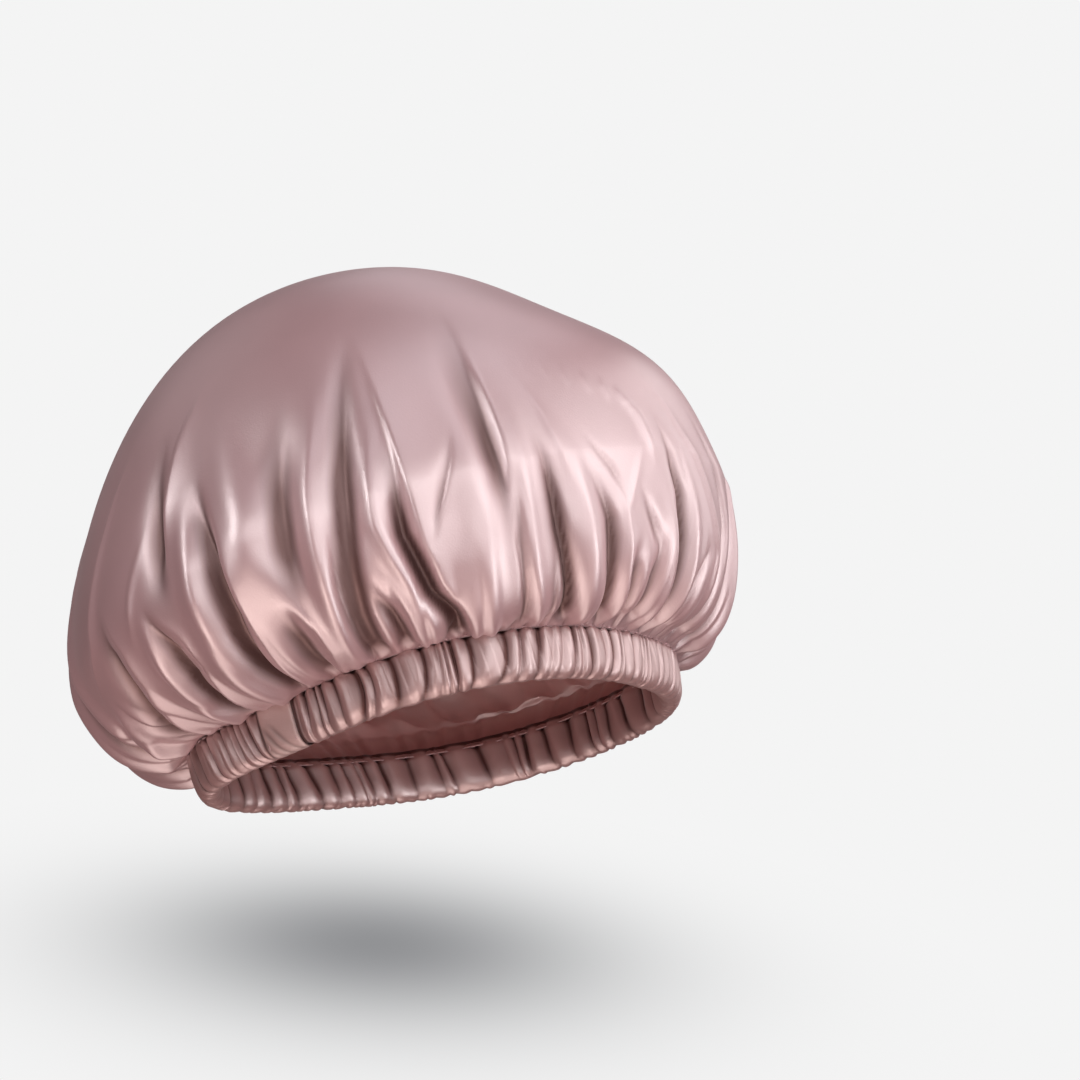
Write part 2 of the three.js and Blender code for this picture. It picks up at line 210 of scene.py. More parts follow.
# %% Folds of the side that faces the viewer
# depth, left and right half-width (mm), roundness, then the route's heights and bearings
VIEWED_FOLDS = [
    (2.2, 3.0, 3.0, 1.8, [(32, 169), (26, 167), (19, 164), (15, 158)]),
    (-2.8, 2.6, 2.2, 1.6, [(30, 164), (25, 163), (18, 159), (15, 154)]),
    (1.5, 1.2, 2.4, 1.3, [(130, 191), (115, 184.5), (99, 181.6), (72, 178), (48, 174.6), (32, 166)]),
    (-3.8, 4.6, 2.6, 1.6, [(60, 179), (51, 179.4), (41, 179.4), (30, 177.4), (21, 174), (16, 169)]),
    (1.8, 1.4, 3.6, 1.4, [(62, 179.6), (55, 180.7), (40, 183), (29, 181.8), (22, 178.6), (16, 174)]),
    (0.9, 1.2, 1.6, 1.4, [(84, 194.4), (78, 193.2), (67, 191.3), (56, 189), (48, 187.8), (40, 186)]),
    (2.8, 3.5, 3.0, 1.8, [(52, 190.4), (43, 190.2), (36, 189.6), (26, 188.4), (20, 187), (16, 184)]),
    (-5.2, 2.8, 2.0, 1.5, [(52, 191), (44, 191.6), (34, 193), (26, 192.4), (20, 190.4), (16, 188)]),
    (1.8, 1.0, 3.6, 1.3, [(50, 192.6), (43, 193.6), (36, 196), (28, 196.4), (22, 194.6), (16, 192)]),
    (-3.4, 5.2, 3.2, 1.9, [(116, 195.8), (107, 195.7), (92, 195.4), (76, 195.7), (63, 196),
                           (48, 196)]),
    (2.0, 1.1, 4.0, 1.25, [(136, 205.4), (127, 203.7), (114, 201.9), (103, 199.8), (77, 198.2),
                           (58, 198)]),
    (3.8, 5.4, 4.2, 2.0, [(92, 200.2), (84, 201), (69, 201.9), (54, 202.5), (34, 201.8), (20, 200)]),
    (-6.4, 4.6, 2.2, 1.5, [(92, 203.4), (85, 204.1), (71, 205.6), (58, 206.6), (35, 206.2),
                           (20, 204.6)]),
    (1.8, 1.1, 5.0, 1.3, [(90, 205.8), (81, 206.6), (63, 208), (37, 208.6), (26, 208.8), (18, 208.2)]),
    (3.2, 8.0, 8.0, 2.0, [(122, 208), (110, 208), (88, 210), (63, 212), (44, 211), (34, 210.5)]),
    (-3.4, 4.5, 3.6, 2.2, [(37, 213.4), (29, 214.3), (22, 214.3), (15, 213.6)]),
    (2.2, 1.6, 2.4, 1.5, [(38, 214.6), (33, 216), (30, 217), (25, 218.2), (20, 218.6), (15, 217)]),
    (-3.8, 5.0, 5.0, 2.0, [(112, 222), (96, 220.4), (75, 218.6), (62, 218), (50, 217.6),
                           (37, 218), (28, 220)]),
    (2.8, 4.6, 3.0, 1.8, [(116, 227.6), (105, 226.5), (84, 224.6), (66, 223), (37, 222.2),
                          (18, 222.6)]),
    (-2.4, 1.2, 1.7, 1.4, [(62, 225), (52, 224.8), (44, 224.4), (32, 223.6), (18, 223.4)]),
    (-4.8, 4.0, 3.8, 1.9, [(132, 235), (105, 231.3), (87, 229.6), (69, 228.1), (43, 226.6),
                           (24, 225.4)]),
    (-3.6, 3.2, 2.2, 2.0, [(38, 228.2), (30, 229), (24, 230.4), (16, 232)]),
    (2.0, 1.5, 2.2, 1.5, [(39, 229.6), (35, 230.6), (32, 231.8), (24, 233.4), (16, 234.4)]),
    (2.8, 3.2, 3.0, 1.9, [(96, 234.6), (82, 233.8), (67, 232.1), (51, 231.5), (40, 232.9),
                          (20, 236.6)]),
    (-5.6, 3.2, 1.9, 1.5, [(84, 236), (73, 235.8), (57, 235.2), (46, 235.3), (27, 237.8), (17, 242)]),
    (2.2, 1.3, 7.0, 1.3, [(134, 234.6), (112, 236), (85, 236.8), (60, 237.2), (41, 238),
                          (30, 239.4), (17, 244)]),
    (-1.9, 2.4, 0.9, 1.4, [(86, 247), (81, 246.3), (69, 244.2), (58, 242.1), (49, 240.3), (40, 239)]),
    (2.8, 6.5, 5.5, 2.0, [(116, 246), (80, 247.4), (55, 247), (35, 246.5), (20, 247)]),
    (-3.0, 6.8, 2.0, 1.8, [(138, 255), (120, 253.2), (102, 252), (87, 251.7), (60, 251), (40, 250)]),
    (1.6, 1.2, 4.2, 1.3, [(128, 256), (117, 254.4), (97, 253.8), (82, 253.5), (66, 252.8), (46, 252)]),
    (-1.7, 1.1, 1.3, 1.4, [(66, 253.6), (52, 252.9), (39, 252.6), (18, 253.2)]),
    (2.0, 2.6, 3.2, 1.8, [(96, 256.2), (77, 255.3), (60, 254.6), (45, 254.4), (30, 254.6), (18, 256)]),
    (-4.8, 2.8, 1.7, 1.3, [(88, 257.6), (77, 258.4), (60, 259.2), (42, 260.2), (28, 261.5),
                           (17, 263)]),
    (1.1, 1.0, 4.4, 1.3, [(106, 258), (98, 259.1), (90, 260.3), (82, 261.2), (72, 261.4),
                          (54, 262.7)]),
    (2.8, 5.0, 4.5, 2.0, [(84, 263.5), (58, 264), (36, 265.5), (18, 267)]),
    (-1.0, 1.5, 1.2, 1.5, [(78, 266.4), (73, 267.5), (67, 269.1), (62, 271.1), (54, 273.2)]),
    (-4.6, 3.2, 2.2, 1.6, [(68, 265.6), (58, 267.2), (45, 270.2), (38, 270.7), (31, 270.9),
                           (18, 272)]),
    (1.8, 1.5, 3.0, 1.5, [(62, 270.8), (47, 273.3), (38, 273.8), (28, 274), (18, 275)]),
    (0.8, 1.0, 1.6, 1.4, [(76, 280), (70, 278.9), (58, 275.8), (46, 273.4)]),
    (-2.0, 3.2, 2.4, 1.7, [(60, 275.6), (53, 277.8), (47, 279.6), (42, 281), (37, 282)]),
    (-3.6, 3.0, 2.6, 1.8, [(42, 275.4), (33, 275.8), (26, 276.8), (17, 278)]),
    (-3.4, 2.4, 2.2, 1.7, [(46, 282.4), (37, 282.6), (29, 282.4), (17, 283)]),
    (2.2, 3.4, 2.6, 1.8, [(66, 282.6), (46, 285.4), (32, 286), (18, 287)]),
    (-5.6, 3.2, 2.2, 1.55, [(92, 284.6), (75, 286), (65, 287), (56, 288.7), (39, 289.9), (18, 290.5)]),
    (1.8, 1.2, 3.6, 1.4, [(92, 287.4), (80, 288.8), (66, 290.4), (54, 292), (34, 293.2), (18, 293.5)]),
    (1.4, 1.2, 4.4, 1.3, [(126, 279), (106, 284.8), (89, 290.6), (79, 292), (59, 298),
                          (41, 303.6), (20, 306)]),
    (-2.8, 2.2, 2.0, 1.7, [(50, 300), (39, 299.8), (31, 297.8), (20, 297)]),
    (-4.8, 3.2, 2.6, 1.7, [(96, 299), (79, 302.9), (69, 305.6), (51, 309.2), (40, 308), (20, 307.6)]),
    (1.3, 1.6, 2.0, 1.5, [(108, 256), (104, 259.9), (96, 270.1), (90, 278.8), (84, 280.7),
                          (66, 281.5)]),
]


# %% Folds of the far side
# Heights, depths and widths in mm, and the lean in degrees
FAR_VALLEY_TOP, FAR_VALLEY_DEPTH, FAR_VALLEY_LEAN = 92, 4.6, 4.5
FAR_PUFF_HEIGHT, FAR_PUFF_WIDTH = 2.4, 4.6


def far_folds(first, last, count):
    """Valleys at an even pitch, swayed by sines of their number, each with a puff beside it
    and, on every third, a thin drawn line that leans over the dome."""
    folds = []
    pitch = (last - first) / count
    for i in range(count):
        bearing = first + pitch * (i + 0.5 + 0.2 * math.sin(2.4 * i))
        top = FAR_VALLEY_TOP + 26 * math.sin(1.3 * i + 0.6)
        lean = FAR_VALLEY_LEAN * math.sin(2.9 * i + 1)
        steep = 1.4 + 1.6 * (0.5 + 0.5 * math.sin(5.1 * i))
        depth = FAR_VALLEY_DEPTH + 1.6 * math.sin(1.7 * i + 2)
        route = [(top, bearing + lean), (0.6 * top + 8, bearing + 0.35 * lean),
                 (36, bearing - 0.25 * lean), (18, bearing - 0.1 * lean)]
        folds.append((-depth, 2.2 + steep, 5.4 - steep, 1.55, route))
        puff = bearing + pitch * (0.5 + 0.1 * math.sin(3.3 * i))
        folds.append((FAR_PUFF_HEIGHT + 0.7 * math.sin(1.1 * i), FAR_PUFF_WIDTH, FAR_PUFF_WIDTH,
                      2.0, [(top + 14, puff + 0.6 * lean), (50, puff), (18, puff)]))
        if i % 3 == 0:
            folds.append((0.8, 1.2, 1.5, 1.3, [(top + 36, puff + 2 * lean), (top, puff + lean),
                                               (56, puff - 2)]))
    return folds


FOLDS = VIEWED_FOLDS + far_folds(314, 520, 22)
print("folds:", len(FOLDS))


# %% Relief of the folds
FOLD_REACH = 24  # degrees to each side of a route where its fold is worked out
SEAM_ZONE = 24   # mm, a route that ends below this height runs into the seam


def fold_relief(turn, height, radius):
    """Sum over the folds of depth times a bell of the distance from the route, which is the
    turn from it times the radius. It fades in below the top of the route and out at its end,
    unless the route runs into the seam."""
    degrees = np.degrees(turn)
    lift = height / MM
    relief = np.zeros_like(lift)
    for depth, left, right, roundness, route in FOLDS:
        tall, bearing = np.array(route[::-1]).T
        near = np.abs(turned(degrees[0], bearing.mean())) < FOLD_REACH
        tall_here = lift[:, near]
        aside = turned(degrees[:, near], np.interp(tall_here, tall, bearing))
        aside = np.radians(aside) * radius[:, near] / MM
        length = tall[-1] - tall[0]
        grown = eased(tall[-1] - tall_here, 0, 0.7 * length)
        across = np.abs(aside) / (np.where(aside < 0, left, right) * (0.8 + 0.3 * grown))
        grown = grown ** 1.35
        if tall[0] > SEAM_ZONE:
            grown = grown * eased(tall_here, tall[0] - 4, tall[0] + 0.3 * length)
        relief[:, near] += depth * grown * np.exp(-across ** roundness)
    return relief * MM


def even_folds(count, sway, seed):
    """Crest and valley bearings, and strengths, of many small pleats round the seam."""
    rng = np.random.default_rng(seed)
    pitch = 360 / count
    crest = pitch * (np.arange(count) + sway * rng.uniform(-1, 1, count))
    valley = pitch * (np.arange(count) + 0.5 + sway * rng.uniform(-1, 1, count))
    knots = np.column_stack([crest, valley]).ravel()
    strength = rng.uniform(0.45, 1, 2 * count)
    strength[1::2] *= -1
    return knots, strength


def pleat_wave(turn, pleats, sharpness=0.5, slant=0.0):
    """Between a crest and a valley the wave is part cosine and part a curve that leaves the
    valley steeply, so that valleys are narrower than crests."""
    knots, values = pleats
    degrees = (np.degrees(turn) - slant) % 360
    at = np.concatenate([knots[-2:] - 360, knots, knots[:2] + 360])
    value = np.concatenate([values[-2:], values, values[:2]])
    k = np.clip(np.searchsorted(at, degrees, side="right") - 1, 0, len(at) - 2)
    share = np.clip((degrees - at[k]) / np.maximum(at[k + 1] - at[k], 0.05), 0, 1)
    from_valley = np.where(value[k] <= value[k + 1], share, 1 - share)
    low, high = np.minimum(value[k], value[k + 1]), np.maximum(value[k], value[k + 1])
    soft = (1 - np.cos(math.pi * from_valley)) / 2
    sharp = (1 - (1 - from_valley) ** 2.4) ** 0.7
    return low + (high - low) * (soft * (1 - sharpness) + sharp * sharpness)


# %% [markdown]
# ## The outer crown
# The crown's rows start at the seam, where over a hundred small pleats are caught by the
# stitching. They merge into the folds within a couple of centimetres, and the folds die out
# towards the smooth top. The relief is added along the balloon's normal. The hidden inner skin
# is coarser: it follows the lowest place of the outer skin near each of its points, so this wall
# is thicker than satin, about a millimetre on average.

# %% Outer crown surface
COLUMNS = 840
COARSE = 4
CLOTH = 0.35 * MM
CROWN_DISC = 240 * MM
# Rows as latitudes, in degrees: at the seam, where the tuck ends, and just short of the apex
SEAM_ROW, TUCK_ROW, APEX_ROW = -110, -90, 89
# In mm: height of the pleats, depth past which folds are bent off and by how much at most, and
# the depth below the blurred relief at which the shade painted into the folds is full
MIDDLE_PLEAT, SEAM_PLEAT = 0.7, 0.9
DEEP, DEEP_EXTRA, FULL_SHADE_DEPTH = 5, 2, 2.6
SEAM_PLEATS = even_folds(118, 0.22, 4)
MIDDLE_PLEATS = even_folds(80, 0.24, 9)
turn = np.linspace(0, 2 * math.pi, COLUMNS, endpoint=False)


def crown_rows(tuck_rows, belly_rows, dome_rows):
    """Latitudes of the rows, in degrees. Rows in the tuck beside the seam count up to -90."""
    tuck = np.linspace(SEAM_ROW, TUCK_ROW, tuck_rows, endpoint=False)
    belly = np.linspace(TUCK_ROW, 0, belly_rows, endpoint=False)
    dome = np.linspace(0, 1, dome_rows, endpoint=False) ** 0.95 * APEX_ROW
    return np.concatenate([tuck, belly, dome])


def crown_base(rows, turn, inset, floor, seam_out, seam_height):
    """The unfolded balloon for all rows, with the tuck run in from the seam."""
    latitude, angle = np.meshgrid(np.radians(np.maximum(rows, TUCK_ROW)), turn, indexing="ij")
    grid = balloon(angle, latitude, inset, floor)
    share = np.clip((rows - SEAM_ROW) / (TUCK_ROW - SEAM_ROW), 0, 1)[:, None, None]
    seam = ring_points(turn, ring_radius(turn) + FLARE + seam_out, seam_height)[None]
    tucked = seam + (grid - seam) * share
    return np.where((rows < TUCK_ROW)[:, None, None], tucked, grid)


# Places where the cloth stands out or lies in: bearing and spread in degrees, height and
# spread in mm, and how far, in mm
TRIMS = [(298, 34, 108, 24, 6.0), (302, 50, 152, 24, -2.4), (166, 26, 32, 16, -3.2),
         (225, 30, 60, 22, 1.0)]


def trimmed(base, normal):
    """The base moved along its normal by a sum of soft round swells."""
    offset = base - CENTRE
    degrees = np.degrees(np.arctan2(offset[..., 1], offset[..., 0]))
    swell = np.zeros(base.shape[:2])
    for bearing, spread, height, rise, size in TRIMS:
        swell += size * MM * np.exp(-(turned(degrees, bearing) / spread) ** 2
                                    - ((base[..., 2] / MM - height) / rise) ** 2)
    away = np.linalg.norm(offset[..., :2], axis=-1)
    swell *= 1 - np.exp(-(away / (45 * MM)) ** 2)
    return base + normal * swell[..., None]


def lowest_near(relief, rows_each, columns_each):
    """Lowest relief within a window, which wraps round but stops at the first and last row."""
    low = relief.copy()
    for step in range(-columns_each, columns_each + 1):
        low = np.minimum(low, np.roll(relief, step, axis=1))
    padded = np.pad(low, ((rows_each, rows_each), (0, 0)), mode="edge")
    stacked = [padded[k:k + len(low)] for k in range(2 * rows_each + 1)]
    return np.min(stacked, axis=0)


def two_skins(name, outer, inner, coarse, flat_radius, painted_shade):
    """Outer skin, coarser inner skin and the strip of triangles that joins them at the seam.
    The flat cloth is a disc: a point's place on it is its meridian length along its turn."""
    rows, columns = outer.shape[:2]
    inner_rows, inner_columns = inner.shape[:2]
    count = rows * columns
    apex = outer[-1].mean(axis=0) + [0, 0, 0.15 * MM]
    apex_in = inner[-1].mean(axis=0) + [0, 0, 0.1 * MM]
    points = np.concatenate([outer.reshape(-1, 3), inner.reshape(-1, 3), [apex, apex_in]])
    top, top_in = (rows - 1) * columns, count + (inner_rows - 1) * inner_columns
    last = count + inner_rows * inner_columns
    column, few = np.arange(columns), np.arange(inner_columns)
    beside, few_beside = (column + 1) % columns, (few + 1) % inner_columns
    nearest = ((column + coarse // 2) // coarse) % inner_columns
    triangles = np.concatenate([
        np.stack([top + column, top + beside, np.full(columns, last)], axis=-1),
        np.stack([top_in + few_beside, top_in + few, np.full(inner_columns, last + 1)], axis=-1),
        np.stack([beside, column, count + nearest], axis=-1),
        np.stack([count + few, count + few_beside,
                  (coarse * (few + 1) - coarse // 2) % columns], axis=-1),
    ])
    quads = np.concatenate([grid_faces(rows, columns),
                            grid_faces(inner_rows, inner_columns, count)[:, ::-1]])
    step = np.linalg.norm(np.diff(outer.mean(axis=1), axis=0), axis=-1)
    up = np.linalg.norm(np.diff(outer, axis=0), axis=-1).mean(axis=1)
    along = flat_radius * (1 - np.concatenate([[0], np.cumsum(np.maximum(up, step))]) / up.sum())
    angle = 2 * math.pi * column / columns
    disc = along[:, None, None] * np.stack([np.cos(angle), np.sin(angle)], axis=-1)
    hidden = np.zeros((len(points) - count, 2))
    # Painted shade for the outer skin's points; the inner skin and the apexes get none
    depth = np.concatenate([painted_shade.ravel(), np.zeros(len(points) - count)])
    return cloth_object(name, points, quads, triangles,
                        np.concatenate([disc.reshape(-1, 2), hidden]), depth)


def crown_relief(rows, base):
    """Folds, middle pleats and seam pleats, each with its own climb and fade. Below a certain
    depth a hyperbolic tangent bends the sum off, so that it gains only a little more."""
    radius = np.linalg.norm(base[..., :2] - CENTRE[:2], axis=-1)
    angle = np.broadcast_to(turn, radius.shape)
    relief = fold_relief(angle, base[..., 2], radius)
    relief *= eased(rows, -109, -88)[:, None]
    middle = eased(rows, -108, -84) * (1 - eased(rows, -66, -24))
    small = eased(rows, -111, -104) * (1 - eased(rows, -98, -72))
    relief += middle[:, None] * MIDDLE_PLEAT * MM * pleat_wave(turn, MIDDLE_PLEATS)
    relief += small[:, None] * SEAM_PLEAT * MM * pleat_wave(turn, SEAM_PLEATS)
    deep = relief < -DEEP * MM
    beyond = (-DEEP - relief[deep] / MM) / DEEP_EXTRA
    relief[deep] = (-DEEP - DEEP_EXTRA * np.tanh(beyond)) * MM
    return relief


def blurred(values, columns_each, times=3):
    """Running mean along the rows, repeated, which is nearly a bell-shaped blur."""
    for _ in range(times):
        padded = np.concatenate([values[:, -columns_each:], values, values[:, :columns_each]], 1)
        total = np.cumsum(np.pad(padded, ((0, 0), (1, 0))), axis=1)
        width = 2 * columns_each + 1
        values = (total[:, width:] - total[:, :-width]) / width
    return values


def make_crown():
    """The trimmed balloon plus the relief along its normal, and the inner skin below its lowest.
    Shade is painted into the folds by how far a place lies below the blurred relief round it."""
    rows = crown_rows(10, 44, 50)
    base = crown_base(rows, turn, 0, None, 0.3 * MM, SEAM_HEIGHT)
    base = trimmed(base, surface_normals(base))
    normal = surface_normals(base)
    relief = crown_relief(rows, base)
    outer = base + normal * relief[..., None]
    low = lowest_near(relief, 3, COARSE) - CLOTH
    few_rows = np.r_[0, 2:len(rows) - 1:3, len(rows) - 1]
    inner = (base + normal * low[..., None])[few_rows][:, ::COARSE]
    inner[0] = (base[0] - [0, 0, 0.3 * MM])[::COARSE]
    # Painted shade: the further a place lies below the blurred relief, the darker it is painted
    painted_shade = np.clip((blurred(relief, 14) - relief) / (FULL_SHADE_DEPTH * MM), 0, 1)
    piece = two_skins("crown_outer_satin", outer, inner, COARSE, CROWN_DISC, painted_shade)
    print("outer crown:", len(piece.data.polygons), "faces, relief mm",
          (relief.min() / MM).round(1), (relief.max() / MM).round(1))
    return piece


crown = make_crown()


# %% [markdown]
# ## The lining
# The lining is a second crown of the same cloth, hung inside the first with its smooth side
# towards the hair. Only the part near the rim shows, past the edge of the opening. Its folds
# are drawn shallow and wide, so a wave with few crests is enough.

# %% Lining surface
LINING_COLUMNS = 400
LINING_FOLDS = even_folds(34, 0.2, 21)
LINING_PLEATS = even_folds(72, 0.24, 23)
LINING_INSET = 9 * MM
LINING_FLOOR = LEAF_TOP + 5 * MM
LINING_SEAM_OUT, LINING_SEAM_RISE = -6.4 * MM, 0.5 * MM
LINING_DISC = 210 * MM
# Sizes of its three waves, and how far all of it is set back, in mm
LINING_FOLD, LINING_BROAD, LINING_PLEAT, LINING_SETBACK = 2.0, 1.6, 0.8, 2.5


def make_lining():
    """A smaller balloon moved along its normal by folds, by two slow waves and by pleats at the
    seam, all set back so that it stays clear of the outer crown's valleys."""
    angle = np.linspace(0, 2 * math.pi, LINING_COLUMNS, endpoint=False)
    rows = crown_rows(8, 36, 30)
    base = crown_base(rows, angle, LINING_INSET, LINING_FLOOR, LINING_SEAM_OUT,
                      SEAM_HEIGHT + LINING_SEAM_RISE)
    climb = (eased(rows, -108, -52) * (1 - eased(rows, -20, 50)))[:, None]
    small = (eased(rows, -109, -96) * (1 - eased(rows, -90, -50)))[:, None]
    lean = (0.12 * (rows + 60))[:, None]
    broad = np.sin(5 * angle + 0.05 * rows[:, None]) + np.sin(3 * angle - 0.07 * rows[:, None] + 2)
    relief = (climb * LINING_FOLD * (pleat_wave(angle[None], LINING_FOLDS, 0.1, lean) - 0.8)
              + climb * LINING_BROAD * (broad - 2)
              + small * LINING_PLEAT * pleat_wave(angle, LINING_PLEATS, 0.4)
              - LINING_SETBACK * eased(rows, -108, -80)[:, None]) * MM
    normal = surface_normals(base)
    outer = base + normal * relief[..., None]
    inner = outer - normal * CLOTH
    inner[0] = outer[0] - [0, 0, 0.3 * MM]
    # Painted shade: darker where the lining bulges outwards, its hollows seen from inside the bonnet,
    # and darker towards the seam, under the band
    painted_shade = np.clip(relief / (7 * MM) + 0.5 + 0.5 * (1 - eased(rows, -104, -70)[:, None]), 0, 1)
    piece = two_skins("crown_lining_satin", inner[:, ::-1], outer[:, ::-1], 1, LINING_DISC,
                      painted_shade[:, ::-1])
    print("lining:", len(piece.data.polygons), "faces")
    return piece


lining = make_lining()

# %% [markdown]
# ## The ruched casing
# The casing is a strip of satin longer than the elastic that it's folded over, so it gathers
# into a hundred and ten puckers outside and some sixty broader ones inside.
# Its section is a rounded U. The puckers are a wave that is subtracted along the
# section's normal, so the crests keep the casing's outer size, and the wave's crests drift with
# the place along the section, because ruching is never quite upright. The elastic lies in a
# plain tunnel, so the wall between them is thicker than satin.

# %% Puckers of uneven width
def uneven_puckers(count, spread, seed):
    """Valleys parted by widths whose logarithms are bell-shaped, and a crest near the middle of
    each width. Wide puckers stand higher, and some valleys are only shallow creases."""
    rng = np.random.default_rng(seed)
    width = np.exp(np.clip(rng.normal(0, spread, count), -1.8 * spread, 1.8 * spread))
    width *= 360 / width.sum()
    valley = np.cumsum(width)
    crest = valley - width * rng.uniform(0.26, 0.74, count)
    high = np.clip(0.62 + 0.13 * width / width.mean() + rng.uniform(-0.15, 0.15, count), 0.4, 1)
    low = -np.where(rng.uniform(0, 1, count) < 0.24, rng.uniform(-0.3, 0.3, count),
                    rng.uniform(0.62, 1, count))
    knots = np.column_stack([crest, valley]).ravel() % 360.0001
    return knots, np.column_stack([high, low]).ravel()


# %% Casing section
CASING_COLUMNS = 1900
PUCKERS = uneven_puckers(110, 0.42, 31)
INNER_PUCKERS = uneven_puckers(64, 0.42, 37)
CREASES = even_folds(170, 0.45, 43)
# Places out from the casing's face and up from the rim, in mm, from outer leaf to inner leaf
CASING_PATH = np.array([
    (-1.6, 20.8), (-0.9, 18.8), (0.9, 17.5), (1.8, 16.2), (2.1, 13.8), (2.2, 10.6), (2.1, 7.4),
    (1.7, 4.4), (0.8, 2.0), (-0.7, 0.5), (-2.6, 0.0), (-4.8, 0.4), (-6.7, 1.8), (-7.7, 4.6),
    (-8.1, 8.0), (-8.2, 11.5), (-8.2, 15.2), (-7.9, 17.2), (-6.2, 18.6), (-4.4, 20.8)])
CAVITY_PATH = np.array([
    (-3.1, 20.8), (-3.3, 18.0), (-4.4, 16.6), (-4.9, 12.0), (-4.9, 6.0), (-4.4, 2.9),
    (-2.7, 2.3), (-1.3, 2.9), (-0.9, 6.0), (-0.9, 12.0), (-1.3, 16.6), (-2.2, 18.0),
    (-2.4, 20.8)])
# How deep the puckers are in mm, against the share of the way from outer leaf to inner leaf
PUCKER_PLACES = [0, 0.06, 0.14, 0.3, 0.42, 0.52, 0.62, 0.8, 0.94, 1]
PUCKER_DEPTHS = [0.3, 1.8, 2.6, 2.4, 1.7, 0.9, 1.3, 2.5, 2.2, 0.6]
# Beside the join, in degrees: where puckers have ended, where they are whole, and the place and
# spread of a painted shadow line along the tab's edge, with how dark it is painted as a share
PUCKERS_END, PUCKERS_WHOLE = 5.8, 8.4
JOIN_SHADOW_PLACE, JOIN_SHADOW_SPREAD, JOIN_SHADOW_DARKNESS = 6.5, 0.45, 0.9
# How far the casing sinks under the tab, in mm: at least, and more where its puckers are deep
TAB_BED, TAB_BED_EXTRA = 0.45, 0.75
# Metres of cloth for each radian round, and across, for the thread pattern. That is a strip of
# 0.8 m, longer than the strip declared with the materials
CLOTH_ROUND, CLOTH_ACROSS = 0.127, 0.09
# In degrees: how far puckers wander and lean along the section, and the side where they lean most
OUTER_DRIFT, OUTER_LEAN, INNER_DRIFT, INNER_LEAN = 2.2, 2.8, 3.2, 6
LEANING_SIDE = 143


def resampled(path, count):
    """Even steps along a smooth curve through the path's points, and the curve's normals."""
    def curve(points, per_span):
        """Each span is a cubic that leaves a point along the chord between its neighbours."""
        ends = np.concatenate([2 * points[:1] - points[1:2], points,
                               2 * points[-1:] - points[-2:-1]])
        u = np.linspace(0, 1, per_span, endpoint=False)[:, None, None]
        a, b, c, d = ends[:-3], ends[1:-2], ends[2:-1], ends[3:]
        spans = b + 0.5 * u * (c - a + u * (2 * a - 5 * b + 4 * c - d + u * (3 * (b - c) + d - a)))
        return np.concatenate([spans.transpose(1, 0, 2).reshape(-1, 2), points[-1:]])

    fine = curve(path, 12)
    length = np.concatenate([[0], np.cumsum(np.linalg.norm(np.diff(fine, axis=0), axis=-1))])
    at = np.linspace(0, length[-1], count)
    places = np.stack([np.interp(at, length, fine[:, k]) for k in (0, 1)], axis=-1)
    tangent = np.gradient(places, axis=0)
    normal = np.stack([-tangent[:, 1], tangent[:, 0]], axis=-1)
    normal /= np.linalg.norm(normal, axis=-1, keepdims=True)
    return places, normal


def smooth_drift(bearing, size, seed):
    """A slow wander round the rim: four sines of the bearing with seeded phases."""
    rng = np.random.default_rng(seed)
    phases = rng.uniform(0, 2 * math.pi, 4)
    return size * sum(np.sin(lobes * np.radians(bearing) + phase) / 1.6
                      for lobes, phase in zip((3, 7, 13, 24), phases)) / 2


def drifted(pleats, size, seed, along):
    """The pleats with their crests and valleys moved by a drift that grows along the section."""
    knots, strength = pleats
    return knots + smooth_drift(knots, size, seed) * along, strength


def fading(strength, share, seed):
    """Valleys that grow shallower from the seam to the rim, some of them much more than others."""
    loss = np.random.default_rng(seed).uniform(0, 1, len(strength)) ** 1.5
    return np.where(strength < 0, strength * (1 - 0.9 * loss * np.clip(share, 0, 1)), strength)


# %% Casing surface
def round_rim(angle, out, up):
    """Section places in mm carried round the rim, which flares with height."""
    radius = ring_radius(angle) + FLARE * up * MM / SEAM_HEIGHT
    return ring_points(angle, radius + out * MM, up * MM)


def casing_wave(angle, along):
    """Outer puckers before the rim, inner ones after it, blended across the rim's fold."""
    bow = math.sin(math.pi * np.clip(along * 2, 0, 1))
    knots, strength = drifted(PUCKERS, OUTER_DRIFT, 5, 2 * along - 0.5)
    lean = OUTER_LEAN * np.cos(np.radians(knots - LEANING_SIDE)) * (2 * along - 0.5)
    knots = knots + lean + (0.9 + smooth_drift(knots, 1.5, 8)) * bow
    outer = pleat_wave(angle, (knots, fading(strength, 2 * along, 12)), 0.45)
    outer += 0.12 * (pleat_wave(angle, CREASES, 0.5, 5 * along) - 1) * bow
    knots, strength = drifted(INNER_PUCKERS, INNER_DRIFT, 6, 2 * (along - 0.75))
    strength = fading(strength, 2 - 2 * along, 14)
    inner = pleat_wave(angle, (knots + INNER_LEAN * (along - 0.75), strength), 0.35)
    share = float(eased(np.array(along), 0.47, 0.6))
    return outer * (1 - share) + inner * share


